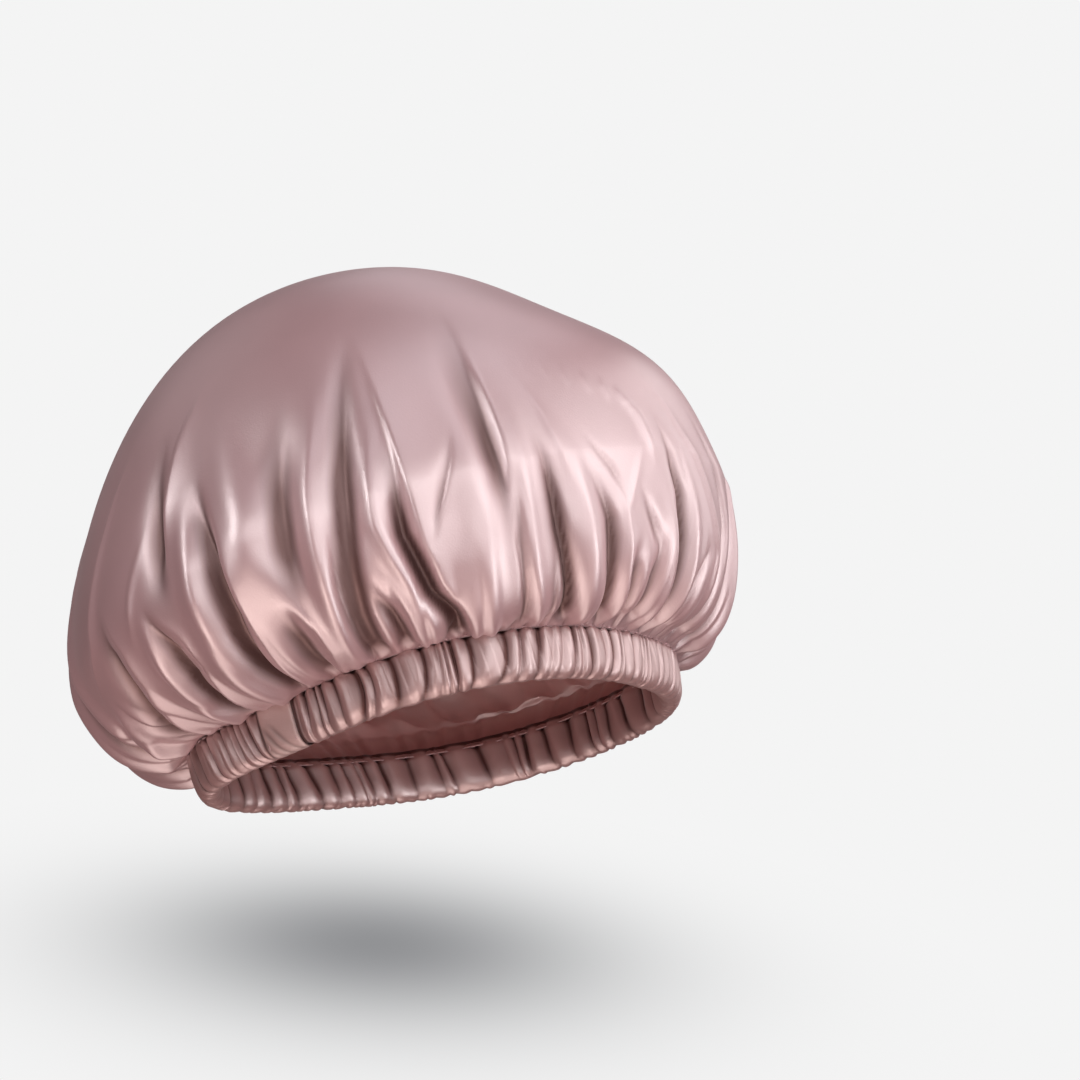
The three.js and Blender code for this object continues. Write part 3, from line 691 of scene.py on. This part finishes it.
def make_casing():
    """The section's path sunk along its normal by the pucker wave, carried round the rim, and
    closed by the tunnel's path. Under the tab the wave gives way to an even bed."""
    angle = np.linspace(0, 2 * math.pi, CASING_COLUMNS, endpoint=False)
    places, normal = resampled(CASING_PATH, 40)
    cavity, _ = resampled(CAVITY_PATH, 12)
    along = np.linspace(0, 1, len(places))
    depth = np.interp(along, PUCKER_PLACES, PUCKER_DEPTHS)
    from_join = np.abs(turned(np.degrees(angle), JOIN_BEARING))
    near_tab = 1 - eased(from_join, PUCKERS_END, PUCKERS_WHOLE)
    waves = np.stack([casing_wave(angle, a) for a in along])
    sunk = depth[:, None] * (1 - waves) * 0.5 * (1 - near_tab) + near_tab * (
        TAB_BED + TAB_BED_EXTRA * np.clip(depth, 0, 1)[:, None])
    out = places[:, 0, None] - normal[:, 0, None] * sunk
    up = places[:, 1, None] - normal[:, 1, None] * sunk
    section = np.concatenate([round_rim(angle, out, up),
                              round_rim(angle, cavity[:, 0, None], cavity[:, 1, None])])
    rows = len(section)
    quads = grid_faces(rows, CASING_COLUMNS)
    column = np.arange(CASING_COLUMNS)
    beside = (column + 1) % CASING_COLUMNS
    last = (rows - 1) * CASING_COLUMNS
    closing = np.stack([last + column, last + beside, beside, column], axis=-1)
    flat = np.stack(np.broadcast_arrays(angle * CLOTH_ROUND,
                                        np.linspace(0, CLOTH_ACROSS, rows)[:, None]), -1)
    # Painted shade: darker in the pucker valleys and where puckers sink deepest, except under the tab,
    # along the inner leaf's top edge where the lining comes out, and in a painted shadow line beside
    # the tab's edge
    painted_shade = np.zeros((rows, CASING_COLUMNS))
    low = np.clip((0.1 - waves) / 0.7, 0, 1) * np.clip(depth / 1.8, 0, 1)[:, None]
    shade = np.maximum(low, np.clip(sunk / 4, 0, 1)) * (1 - near_tab)
    shade += eased(along, 0.95, 0.98)[:, None]
    shade += JOIN_SHADOW_DARKNESS * np.exp(-((from_join - JOIN_SHADOW_PLACE) / JOIN_SHADOW_SPREAD) ** 2)
    painted_shade[:len(shade)] = shade
    piece = cloth_object("casing_ruched_satin", section, np.concatenate([quads, closing]),
                         None, flat, painted_shade)
    print("casing:", len(piece.data.polygons), "faces")
    return piece


casing = make_casing()


# %% [markdown]
# ## The join tab
# The casing's ends meet near the nape under a flat tab, a folded strip that wraps the casing from
# the seam round the rim. It is a closed solid: its outer skin swells a little between its
# edges, and soft creases cross its lower corner, where the casing under it pulls.

# %% Join tab
# Half the tab's width in degrees, and its thickness and swell in mm
TAB_HALF_ANGLE = 6.05
TAB_THICKNESS, TAB_SWELL = 0.4, 0.22
# Each soft crease: where it starts across the tab and its lean, as shares, and its depth in mm
TAB_CREASES = ((-0.95, 2.6, 0.2), (-0.55, 3.4, 0.16), (-1.3, 2.2, 0.14))
# Half the width and the length of its cloth for the thread pattern, in metres. The length
# declared with the materials is 5 mm less
TAB_HALF_CLOTH, TAB_CLOTH = 0.009, 0.045
# Places out from the casing's face and up from the rim, in mm, of the tab's outer skin
TAB_PATH = np.array([
    (0.9, 17.9), (1.55, 17.0), (1.7, 14.8), (1.65, 12.0), (1.6, 9.0), (1.5, 6.4), (1.25, 4.2),
    (0.5, 2.1), (-0.8, 0.7), (-2.6, 0.2), (-4.6, 0.6), (-6.2, 2.0), (-7.0, 4.6),
    (-7.4, 8.0), (-7.5, 11.5), (-7.3, 14.0), (-6.9, 15.8)])


def make_tab():
    """The tab's path carried a few degrees round the rim, with a swell that is a power of a sine
    along it and a flat hump across it, less the creases. A second skin lies inside."""
    places, normal = resampled(TAB_PATH, 72)
    share = np.linspace(-1, 1, 34)
    along, across = np.meshgrid(np.linspace(0, 1, len(places)), share, indexing="ij")
    edge = eased(1 - np.abs(across), 0, 0.16) * eased(np.minimum(along, 1 - along), 0, 0.02)
    swell = TAB_SWELL * (1 - across ** 4) * np.sin(math.pi * np.clip(along / 0.45, 0, 1)) ** 0.6
    crease = np.zeros_like(along)
    for start, lean, depth in TAB_CREASES:
        aside = across - start - lean * (along - 0.16)
        crease += depth * np.exp(-(aside / 0.13) ** 2) * eased(along, 0.14, 0.3)
    lift = (swell - crease) * edge + 0.5 * TAB_THICKNESS * (edge - 1)
    angle = np.radians(JOIN_BEARING + TAB_HALF_ANGLE * across)
    skins = []
    for height in (lift, np.full_like(lift, -TAB_THICKNESS)):
        out = places[:, 0, None] + normal[:, 0, None] * height
        up = places[:, 1, None] + normal[:, 1, None] * height
        skins.append(round_rim(angle, out, up))
    around = np.concatenate([skins[0], skins[1][:, ::-1]], axis=1)
    rows, columns = around.shape[:2]
    few = columns // 2
    column = np.arange(few - 1)
    cap = np.stack([column, column + 1, columns - 2 - column, columns - 1 - column], axis=-1)
    quads = np.concatenate([grid_faces(rows, columns), cap[:, ::-1], cap + (rows - 1) * columns])
    flat = np.stack([across * TAB_HALF_CLOTH, along * TAB_CLOTH], axis=-1)
    flat = np.concatenate([flat, flat[:, ::-1]], axis=1)
    # Painted shade: a dark outline along the tab's sides and top end, darker along its creases, and
    # full on the hidden inner skin
    rim = 1 - eased(1 - np.abs(across), 0.02, 0.1) * eased(along, 0.0, 0.05)
    painted_shade = np.concatenate([np.clip(crease * 2.4, 0, 0.5) + rim, np.ones_like(crease)], axis=1)
    return cloth_object("join_tab_satin", around, quads, None, flat, painted_shade)


tab = make_tab()

# %% [markdown]
# ## Seam stitches
# The crown is sewn to the casing with a running stitch. Each stitch is a short thread that
# sinks into the cloth at both ends, so the seam shows as a row of small dashes in the groove.
# The lining's seam is made in the same way.

# %% Seam stitches
STITCHES = 150
STITCH_SHARE = 0.62  # of the pitch from one stitch to the next
THREAD_RADIUS = 0.2 * MM


def make_stitches(name, out, rise, height):
    """Stitches that lie this far out from the casing's face and rise from it halfway, in mm, by
    a sine. Each one's place and tilt are swayed by sines of its number."""
    sides, steps = 8, 7
    number, step, side = np.meshgrid(np.arange(STITCHES), np.arange(steps), np.arange(sides),
                                     indexing="ij")
    share = step / (steps - 1)
    place = number + STITCH_SHARE * share + 0.1 * np.sin(number * 2.3)
    angle = 2 * math.pi * place / STITCHES
    hump = np.sin(math.pi * share)
    tilt = 0.25 * np.sin(number * 1.9) * (share - 0.5)
    thick = THREAD_RADIUS * np.where((step == 0) | (step == steps - 1), 0.35, 1)
    spoke = 2 * math.pi * side / sides
    radius = ring_radius(angle) + FLARE + (out + rise * hump) * MM + thick * np.cos(spoke)
    points = ring_points(angle, radius, height * MM + tilt * MM + thick * np.sin(spoke))
    each = steps * sides
    tube = grid_faces(steps, sides)
    ends = np.arange(sides)
    first = np.arange(STITCHES) * each
    quads = (tube[None] + first[:, None, None]).reshape(-1, 4)
    fan = np.stack([np.full(sides - 2, 0), ends[2:], ends[1:-1]], axis=-1)
    caps = np.concatenate([fan, fan[:, ::-1] + (steps - 1) * sides])
    triangles = (caps[None] + first[:, None, None]).reshape(-1, 3)
    return cloth_object(name, points, quads, triangles)


stitches = make_stitches("seam_stitches", out=0.7, rise=0.6, height=17.3)
lining_stitches = make_stitches("lining_stitches", out=-6.5, rise=-0.3, height=17.4)


# %% Which way a closed piece faces
def face_outwards(piece):
    """Turns every face round if the signed volume, a sum over the faces, is negative."""
    mesh = piece.data
    count = len(mesh.vertices)
    points = np.empty(count * 3)
    mesh.vertices.foreach_get("co", points)
    points = points.reshape(-1, 3)
    mesh.calc_loop_triangles()
    corners = np.empty(len(mesh.loop_triangles) * 3, dtype=int)
    mesh.loop_triangles.foreach_get("vertices", corners)
    a, b, c = (points[corners.reshape(-1, 3)[:, k]] for k in range(3))
    volume = float(np.einsum("ij,ij->i", a, np.cross(b, c)).sum() / 6)
    if volume < 0:
        mesh.flip_normals()
    print(piece.name, "holds", round(abs(volume) * 1e6, 2), "ml of cloth,",
          len(mesh.loop_triangles), "triangles")


for piece in (crown, lining, casing, tab, stitches, lining_stitches):
    face_outwards(piece)


# %% [markdown]
# ## Satin
# Satin floats its long threads on the face, so it shines softly and looks deeper in its folds,
# where light bounces from cloth to cloth. The material has a raised specular and a little
# sheen. Shade is painted into the folds by an attribute: there its colour darkens, its shine
# takes on the cloth's own darker colour, as a painted darker reflection, and it grows rougher.
# A slow uneven tint and two bumps, short streaks of thread and a fine grain, keep it from
# looking like plastic.

# %% Material helpers
def set_inputs(node, inputs):
    """Sets sockets by name, with an underscore standing for a space."""
    for name, value in inputs.items():
        node.inputs[name.replace("_", " ")].default_value = value


def new_material(name, **inputs):
    """A material with nodes, and its shader with some of its sockets set."""
    material = bpy.data.materials.new(name)
    material.use_nodes = True
    shader = material.node_tree.nodes["Principled BSDF"]
    set_inputs(shader, inputs)
    return material, material.node_tree, shader


def add_node(tree, kind, **inputs):
    """A new node with some of its sockets set."""
    node = tree.nodes.new(kind)
    set_inputs(node, inputs)
    return node


def math_node(tree, operation, value, *constants):
    """A Math node fed by a socket, with constants in the places after it."""
    node = tree.nodes.new("ShaderNodeMath")
    node.operation = operation
    tree.links.new(value, node.inputs[0])
    for place, constant in enumerate(constants, 1):
        node.inputs[place].default_value = constant
    return node


def colour_between(tree, share, first, second):
    """The first colour where the share is 0 and the second where it is 1."""
    node = tree.nodes.new("ShaderNodeMix")
    node.data_type = "RGBA"
    node.inputs[6].default_value = (*first, 1)
    node.inputs[7].default_value = (*second, 1)
    tree.links.new(share, node.inputs[0])
    return node.outputs[2]


# %% Satin material
SHEEN_TINT = (1.0, 0.86, 0.88, 1)
THREADS_EACH_WAY = (900, 4200, 1)  # streaks in a metre of cloth, along and across the thread
SATIN_TINT = 0.05
# Roughness added where shade is painted into the folds
PAINTED_SHADE_ROUGHNESS = 0.15


def satin(name, colour, deep, roughness, lustre=0.15, deepening=0.9, painted_shade_lustre=0.75):
    """Base colour is the rose mixed towards a darker tone where shade is painted into the folds,
    times a slow noise. Metallic climbs there too, a painted darker reflection in the cloth's
    colour. Roughness is the noise's share of a narrow range, plus some where shade is painted.
    The bump is a noise stretched along the thread, with an even grain over it."""
    material, tree, shader = new_material(
        name, Specular_IOR_Level=0.8, IOR=2.4, Sheen_Weight=0.12, Sheen_Roughness=0.35,
        Sheen_Tint=SHEEN_TINT)
    link = tree.links.new
    place = tree.nodes.new("ShaderNodeTexCoord")
    painted_shade = tree.nodes.new("ShaderNodeAttribute")
    painted_shade.attribute_name = "painted_shade"
    amount = add_node(tree, "ShaderNodeMapRange", To_Max=deepening)
    link(painted_shade.outputs["Fac"], amount.inputs["Value"])
    shine = add_node(tree, "ShaderNodeMapRange", To_Min=lustre, To_Max=painted_shade_lustre)
    link(painted_shade.outputs["Fac"], shine.inputs["Value"])
    link(shine.outputs["Result"], shader.inputs["Metallic"])
    cloud = add_node(tree, "ShaderNodeTexNoise", Scale=26.0, Detail=3.0, Roughness=0.5)
    link(place.outputs["Object"], cloud.inputs["Vector"])
    shade = add_node(tree, "ShaderNodeMapRange", From_Min=0.3, From_Max=0.7,
                     To_Min=1 - SATIN_TINT, To_Max=1 + SATIN_TINT)
    link(cloud.outputs["Fac"], shade.inputs["Value"])
    tone = colour_between(tree, amount.outputs["Result"], colour, deep)
    tinted = tree.nodes.new("ShaderNodeVectorMath")
    tinted.operation = "SCALE"
    link(tone, tinted.inputs[0])
    link(shade.outputs["Result"], tinted.inputs["Scale"])
    link(tinted.outputs["Vector"], shader.inputs["Base Color"])
    rough = add_node(tree, "ShaderNodeMapRange", To_Min=roughness - 0.03, To_Max=roughness + 0.05)
    link(cloud.outputs["Fac"], rough.inputs["Value"])
    dull = math_node(tree, "MULTIPLY_ADD", painted_shade.outputs["Fac"], PAINTED_SHADE_ROUGHNESS)
    link(rough.outputs["Result"], dull.inputs[2])
    link(dull.outputs["Value"], shader.inputs["Roughness"])
    threads = add_node(tree, "ShaderNodeMapping", Scale=THREADS_EACH_WAY)
    link(place.outputs["UV"], threads.inputs["Vector"])
    streaks = add_node(tree, "ShaderNodeTexNoise", Scale=1.0, Detail=2.0, Roughness=0.6)
    link(threads.outputs["Vector"], streaks.inputs["Vector"])
    grain = add_node(tree, "ShaderNodeTexNoise", Scale=1500.0, Detail=2.0, Roughness=0.6)
    link(place.outputs["Object"], grain.inputs["Vector"])
    fine = add_node(tree, "ShaderNodeBump", Strength=0.25, Distance=0.00006)
    coarse = add_node(tree, "ShaderNodeBump", Strength=0.5, Distance=0.0001)
    link(streaks.outputs["Fac"], fine.inputs["Height"])
    link(grain.outputs["Fac"], coarse.inputs["Height"])
    link(fine.outputs["Normal"], coarse.inputs["Normal"])
    link(coarse.outputs["Normal"], shader.inputs["Normal"])
    return material


def finish_piece(piece, material, replaced):
    """Gives a piece its material and its body, and hides the imported node that it stands for."""
    piece.data.materials.clear()
    piece.data.materials.append(material)
    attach(piece, "root")
    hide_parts(replaced)


# All four pieces are one satin. Their first colours differ as painted light and shade: the lining is
# painted lighter against the shade inside the bonnet, the ruching a little darker, and the tab lighter
# than the ruching round it. Each second colour is the darker tone painted into the shade of its folds
OUTER_SATIN = satin("dusty rose satin", (0.38, 0.203, 0.213), (0.09, 0.026, 0.019), 0.385)
LINING_SATIN = satin("dusty rose lining", (0.58, 0.32, 0.31), (0.24, 0.10, 0.09), 0.42, 0.1, 0.5)
CASING_SATIN = satin("dusty rose ruching", (0.36, 0.178, 0.172), (0.06, 0.014, 0.01), 0.38, 0.2,
                     painted_shade_lustre=0.93)
TAB_SATIN = satin("dusty rose tab", (0.44, 0.25, 0.235), (0.08, 0.025, 0.02), 0.42, 0.1)

finish_piece(crown, OUTER_SATIN, "outer_crown")
finish_piece(lining, LINING_SATIN, "lining_crown")
finish_piece(casing, CASING_SATIN, "band_casing")

finish_piece(tab, TAB_SATIN, "casing_join_tab")


# %% [markdown]
# ## Thread and elastic
# The sewing thread is dyed to match the satin and is a little rough, with a twist too fine to
# model. The elastic is off-white and ribbed. It's hidden in the casing, but it still gets its
# finish, because pieces may be looked at on their own.

# %% Thread and elastic materials
def thread(name, colour):
    """Rough dyed thread with a fine noise for its twist, in the colour and in the bump."""
    material, tree, shader = new_material(name, Roughness=0.5, Sheen_Weight=0.2)
    place = tree.nodes.new("ShaderNodeTexCoord")
    twist = add_node(tree, "ShaderNodeTexNoise", Scale=2600.0, Detail=1.0)
    tone = colour_between(tree, twist.outputs["Fac"], [0.75 * part for part in colour],
                          [min(1, 1.2 * part) for part in colour])
    bump = add_node(tree, "ShaderNodeBump", Strength=0.5, Distance=0.00005)
    link = tree.links.new
    link(place.outputs["Object"], twist.inputs["Vector"])
    link(tone, shader.inputs["Base Color"])
    link(twist.outputs["Fac"], bump.inputs["Height"])
    link(bump.outputs["Normal"], shader.inputs["Normal"])
    return material


def woven_elastic():
    """Off-white elastic: fine cross ribs from a wave up the band, and a slow uneven tone."""
    material, tree, shader = new_material("woven elastic", Roughness=0.75, Sheen_Weight=0.3)
    place = tree.nodes.new("ShaderNodeTexCoord")
    ribs = add_node(tree, "ShaderNodeTexWave", Scale=240.0, Distortion=0.6, Detail=1.0)
    ribs.bands_direction = "Z"
    cloud = add_node(tree, "ShaderNodeTexNoise", Scale=90.0, Detail=2.0)
    tone = colour_between(tree, cloud.outputs["Fac"], (0.66, 0.62, 0.58), (0.8, 0.77, 0.73))
    bump = add_node(tree, "ShaderNodeBump", Strength=0.6, Distance=0.0002)
    link = tree.links.new
    link(place.outputs["Object"], ribs.inputs["Vector"])
    link(place.outputs["Object"], cloud.inputs["Vector"])
    link(tone, shader.inputs["Base Color"])
    link(ribs.outputs["Fac"], bump.inputs["Height"])
    link(bump.outputs["Normal"], shader.inputs["Normal"])
    return material


ROSE_THREAD = thread("rose sewing thread", (0.45, 0.27, 0.28))
ELASTIC = woven_elastic()
finish_piece(stitches, ROSE_THREAD, "outer_seam_thread")
finish_piece(lining_stitches, ROSE_THREAD, "lining_seam_thread")
for name, material in (("tab_stitch_left", ROSE_THREAD),
                       ("tab_stitch_right", ROSE_THREAD), ("elastic_join_stitches", ROSE_THREAD),
                       ("elastic_band", ELASTIC)):
    nodes[name].data.materials.clear()
    nodes[name].data.materials.append(material)


# %% [markdown]
# ## Camera and light
# The camera stands below the rim's plane with the bonnet leaning to the left, so the head
# opening shows. It was fitted to the rim's oval, for an assumed lens of 85 mm. Satin shows what
# it mirrors, so many soft lamps stand round the camera's side for its bright panels. The pale
# world stands for floor and backdrop, and only the camera sees it that bright.

# %% Camera
VIEW_BEARING = math.radians(-37)
VIEW_RISE = math.radians(-16.0)
VIEW_ROLL = math.radians(12.6)
# Metres from the camera to the rim's middle, and that middle's place right and up in the view
VIEW_DISTANCE = 0.915
RIM_ASIDE = -0.0307
RIM_BELOW = -0.0758
LENS = 85


def camera_frame():
    """The camera's axes in the model's frame: turned, tipped up and rolled about the rim."""
    spin = Matrix.Rotation(-VIEW_BEARING, 3, "Z")
    sine, cosine = math.sin(VIEW_RISE), math.cos(VIEW_RISE)
    tip = Matrix(((1, 0, 0), (0, sine, cosine), (0, -cosine, sine)))
    roll = Matrix.Rotation(VIEW_ROLL, 3, "Z")
    to_camera = roll @ tip @ spin
    offset = Vector((RIM_ASIDE, RIM_BELOW, -VIEW_DISTANCE))
    return to_camera, offset


TO_CAMERA, RIM_FROM_CAMERA = camera_frame()


def from_camera(place):
    """A place given right, up and towards the camera from it, in the model's frame."""
    return TO_CAMERA.transposed() @ (Vector(place) - RIM_FROM_CAMERA) + Vector(CENTRE)


lens = bpy.data.cameras.new("product camera")
lens.lens = LENS
camera = bpy.data.objects.new("product camera", lens)
bpy.context.collection.objects.link(camera)
camera.matrix_world = Matrix.Translation(from_camera((0, 0, 0))) @ TO_CAMERA.transposed().to_4x4()
bpy.context.scene.camera = camera
print("camera, metres:", [round(value, 3) for value in camera.matrix_world.translation])


# %% Lamps
LAMP_DISTANCE = 0.8
CROWN_MIDDLE = Vector((-0.05, 0.0, -0.9))
BACKDROP, BACKDROP_STRENGTH = (0.905, 0.905, 0.905, 1), 1
FILL, FILL_STRENGTH = (1.0, 0.93, 0.92, 1), 0.035
WARM = (1.0, 0.84, 0.78)
COOL = (0.94, 0.95, 1.0)


def softbox(name, towards, size, power, colour=(1, 1, 1)):
    """A soft lamp in a direction right, up and towards the camera from the crown's middle. Its
    size is width and height in metres, and its power is in watts."""
    lamp = bpy.data.lights.new(name, "AREA")
    lamp.shape = "RECTANGLE"
    lamp.size, lamp.size_y = size
    lamp.energy = power
    lamp.color = colour
    holder = bpy.data.objects.new(name, lamp)
    bpy.context.collection.objects.link(holder)
    holder.location = from_camera(CROWN_MIDDLE + Vector(towards).normalized() * LAMP_DISTANCE)
    back = from_camera(CROWN_MIDDLE) - holder.location
    holder.rotation_euler = back.to_track_quat("-Z", "Y").to_euler()


softbox("right high softbox", (0.75, 0.62, 0.25), (0.76, 0.54), 2.7)
softbox("right softbox", (0.95, 0.2, 0.1), (0.5, 0.6), 1.1)
softbox("right front softbox", (0.8, 0.2, 0.55), (0.6, 0.6), 1.5)
softbox("right low softbox", (0.9, -0.2, 0.35), (0.3, 0.4), 1.4)
softbox("right rim softbox", (0.78, 0.3, -0.55), (0.4, 0.7), 1.6)
softbox("overhead softbox", (0.05, 0.62, 0.78), (1.0, 0.3), 2.5)
softbox("front softbox", (0.1, 0.15, 0.98), (0.4, 0.3), 0.9)
softbox("front right softbox", (0.45, 0.15, 0.87), (0.3, 0.3), 0.6)
softbox("top softbox", (0.1, 0.98, 0.1), (0.6, 0.4), 1.0, COOL)
softbox("top rear softbox", (0.1, 0.8, -0.6), (0.6, 0.3), 0.5, COOL)
softbox("left softbox", (-0.75, 0.0, 0.66), (0.2, 0.3), 0.6)
softbox("left strip softbox", (-0.78, 0.48, 0.4), (0.13, 0.45), 2.0)
softbox("left rear softbox", (-0.6, 0.6, -0.5), (0.4, 0.4), 0.15)
softbox("low right softbox", (0.5, -0.5, 0.7), (0.5, 0.4), 0.6, WARM)
softbox("low left softbox", (-0.35, -0.6, 0.7), (0.6, 0.4), 2.2, WARM)
softbox("floor bounce", (0.0, -0.97, 0.25), (0.9, 0.6), 3.0, WARM)


def pale_world():
    """Two plain backgrounds, parted by whether a ray comes straight from the camera."""
    world = bpy.data.worlds.new("studio")
    world.use_nodes = True
    tree = world.node_tree
    tree.nodes.clear()
    rays = tree.nodes.new("ShaderNodeLightPath")
    seen = add_node(tree, "ShaderNodeBackground", Color=BACKDROP, Strength=BACKDROP_STRENGTH)
    fill = add_node(tree, "ShaderNodeBackground", Color=FILL, Strength=FILL_STRENGTH)
    pick = tree.nodes.new("ShaderNodeMixShader")
    out = tree.nodes.new("ShaderNodeOutputWorld")
    link = tree.links.new
    link(rays.outputs["Is Camera Ray"], pick.inputs[0])
    link(fill.outputs[0], pick.inputs[1])
    link(seen.outputs[0], pick.inputs[2])
    link(pick.outputs[0], out.inputs[0])
    return world


bpy.context.scene.world = pale_world()
bpy.context.scene.view_settings.view_transform = "Standard"

# %% [markdown]
# ## The soft shadow
# The bonnet floats above a pale studio floor with a soft shadow. The shadow is a disc seen
# almost edge-on, whose darkness falls off from its middle as a bell curve.

# %% Shadow disc
# Its place right, up and towards the camera, and the spread of its bell curve, in metres
SHADOW_PLACE = (-0.0602, -0.1473, -0.93)
SHADOW_SPREAD = 0.066
SHADOW_TURN = math.radians(4.4)
SHADOW_RISE = math.radians(8.1)
SHADOW_REACH = 3.4  # spreads from its middle to its edge
SHADOW_DEPTH = 0.8
SHADOW_GREY = (0.132, 0.136, 0.148, 1.0)
DISC_CORNERS = 48


def make_shadow():
    """A fan of corners round the shadow's middle, with each corner's distance from it, counted
    in spreads, kept as a UV map."""
    up = Vector((math.sin(SHADOW_TURN) * math.cos(SHADOW_RISE),
                 math.cos(SHADOW_TURN) * math.cos(SHADOW_RISE), math.sin(SHADOW_RISE)))
    side = Vector((0, 0, 1)).cross(up).normalized()
    back = up.cross(side)
    turns = [k * math.tau / DISC_CORNERS for k in range(DISC_CORNERS)]
    corners = [(0, 0)] + [(math.cos(angle), math.sin(angle)) for angle in turns]
    reach = SHADOW_REACH * SHADOW_SPREAD
    points = [from_camera(Vector(SHADOW_PLACE) + (side * u + back * v) * reach) for u, v in corners]
    mesh = bpy.data.meshes.new("studio shadow")
    mesh.from_pydata([tuple(point) for point in points], [],
                     [(0, k, k % DISC_CORNERS + 1) for k in range(1, DISC_CORNERS + 1)])
    layer = mesh.uv_layers.new(name="spread")
    for loop in mesh.loops:
        u, v = corners[loop.vertex_index]
        layer.data[loop.index].uv = (SHADOW_REACH * u, SHADOW_REACH * v)
    disc = bpy.data.objects.new("studio shadow", mesh)
    bpy.context.collection.objects.link(disc)
    disc.visible_diffuse = False
    disc.visible_glossy = False
    disc.visible_shadow = False
    return disc


def shadow_material():
    """Transparent, mixed with a flat grey by a bell curve of the distance from the middle."""
    material = bpy.data.materials.new("soft shadow")
    material.use_nodes = True
    tree = material.node_tree
    tree.nodes.clear()
    link = tree.links.new
    place = tree.nodes.new("ShaderNodeTexCoord")
    square = tree.nodes.new("ShaderNodeVectorMath")
    square.operation = "DOT_PRODUCT"
    link(place.outputs["UV"], square.inputs[0])
    link(place.outputs["UV"], square.inputs[1])
    halved = math_node(tree, "MULTIPLY", square.outputs["Value"], -0.5)
    bell = math_node(tree, "EXPONENT", halved.outputs["Value"])
    strength = math_node(tree, "MULTIPLY", bell.outputs["Value"], SHADOW_DEPTH)
    clear = tree.nodes.new("ShaderNodeBsdfTransparent")
    grey = add_node(tree, "ShaderNodeEmission", Color=SHADOW_GREY)
    mixed = tree.nodes.new("ShaderNodeMixShader")
    link(strength.outputs["Value"], mixed.inputs[0])
    link(clear.outputs[0], mixed.inputs[1])
    link(grey.outputs[0], mixed.inputs[2])
    end = tree.nodes.new("ShaderNodeOutputMaterial")
    link(mixed.outputs[0], end.inputs[0])
    return material


make_shadow().data.materials.append(shadow_material())
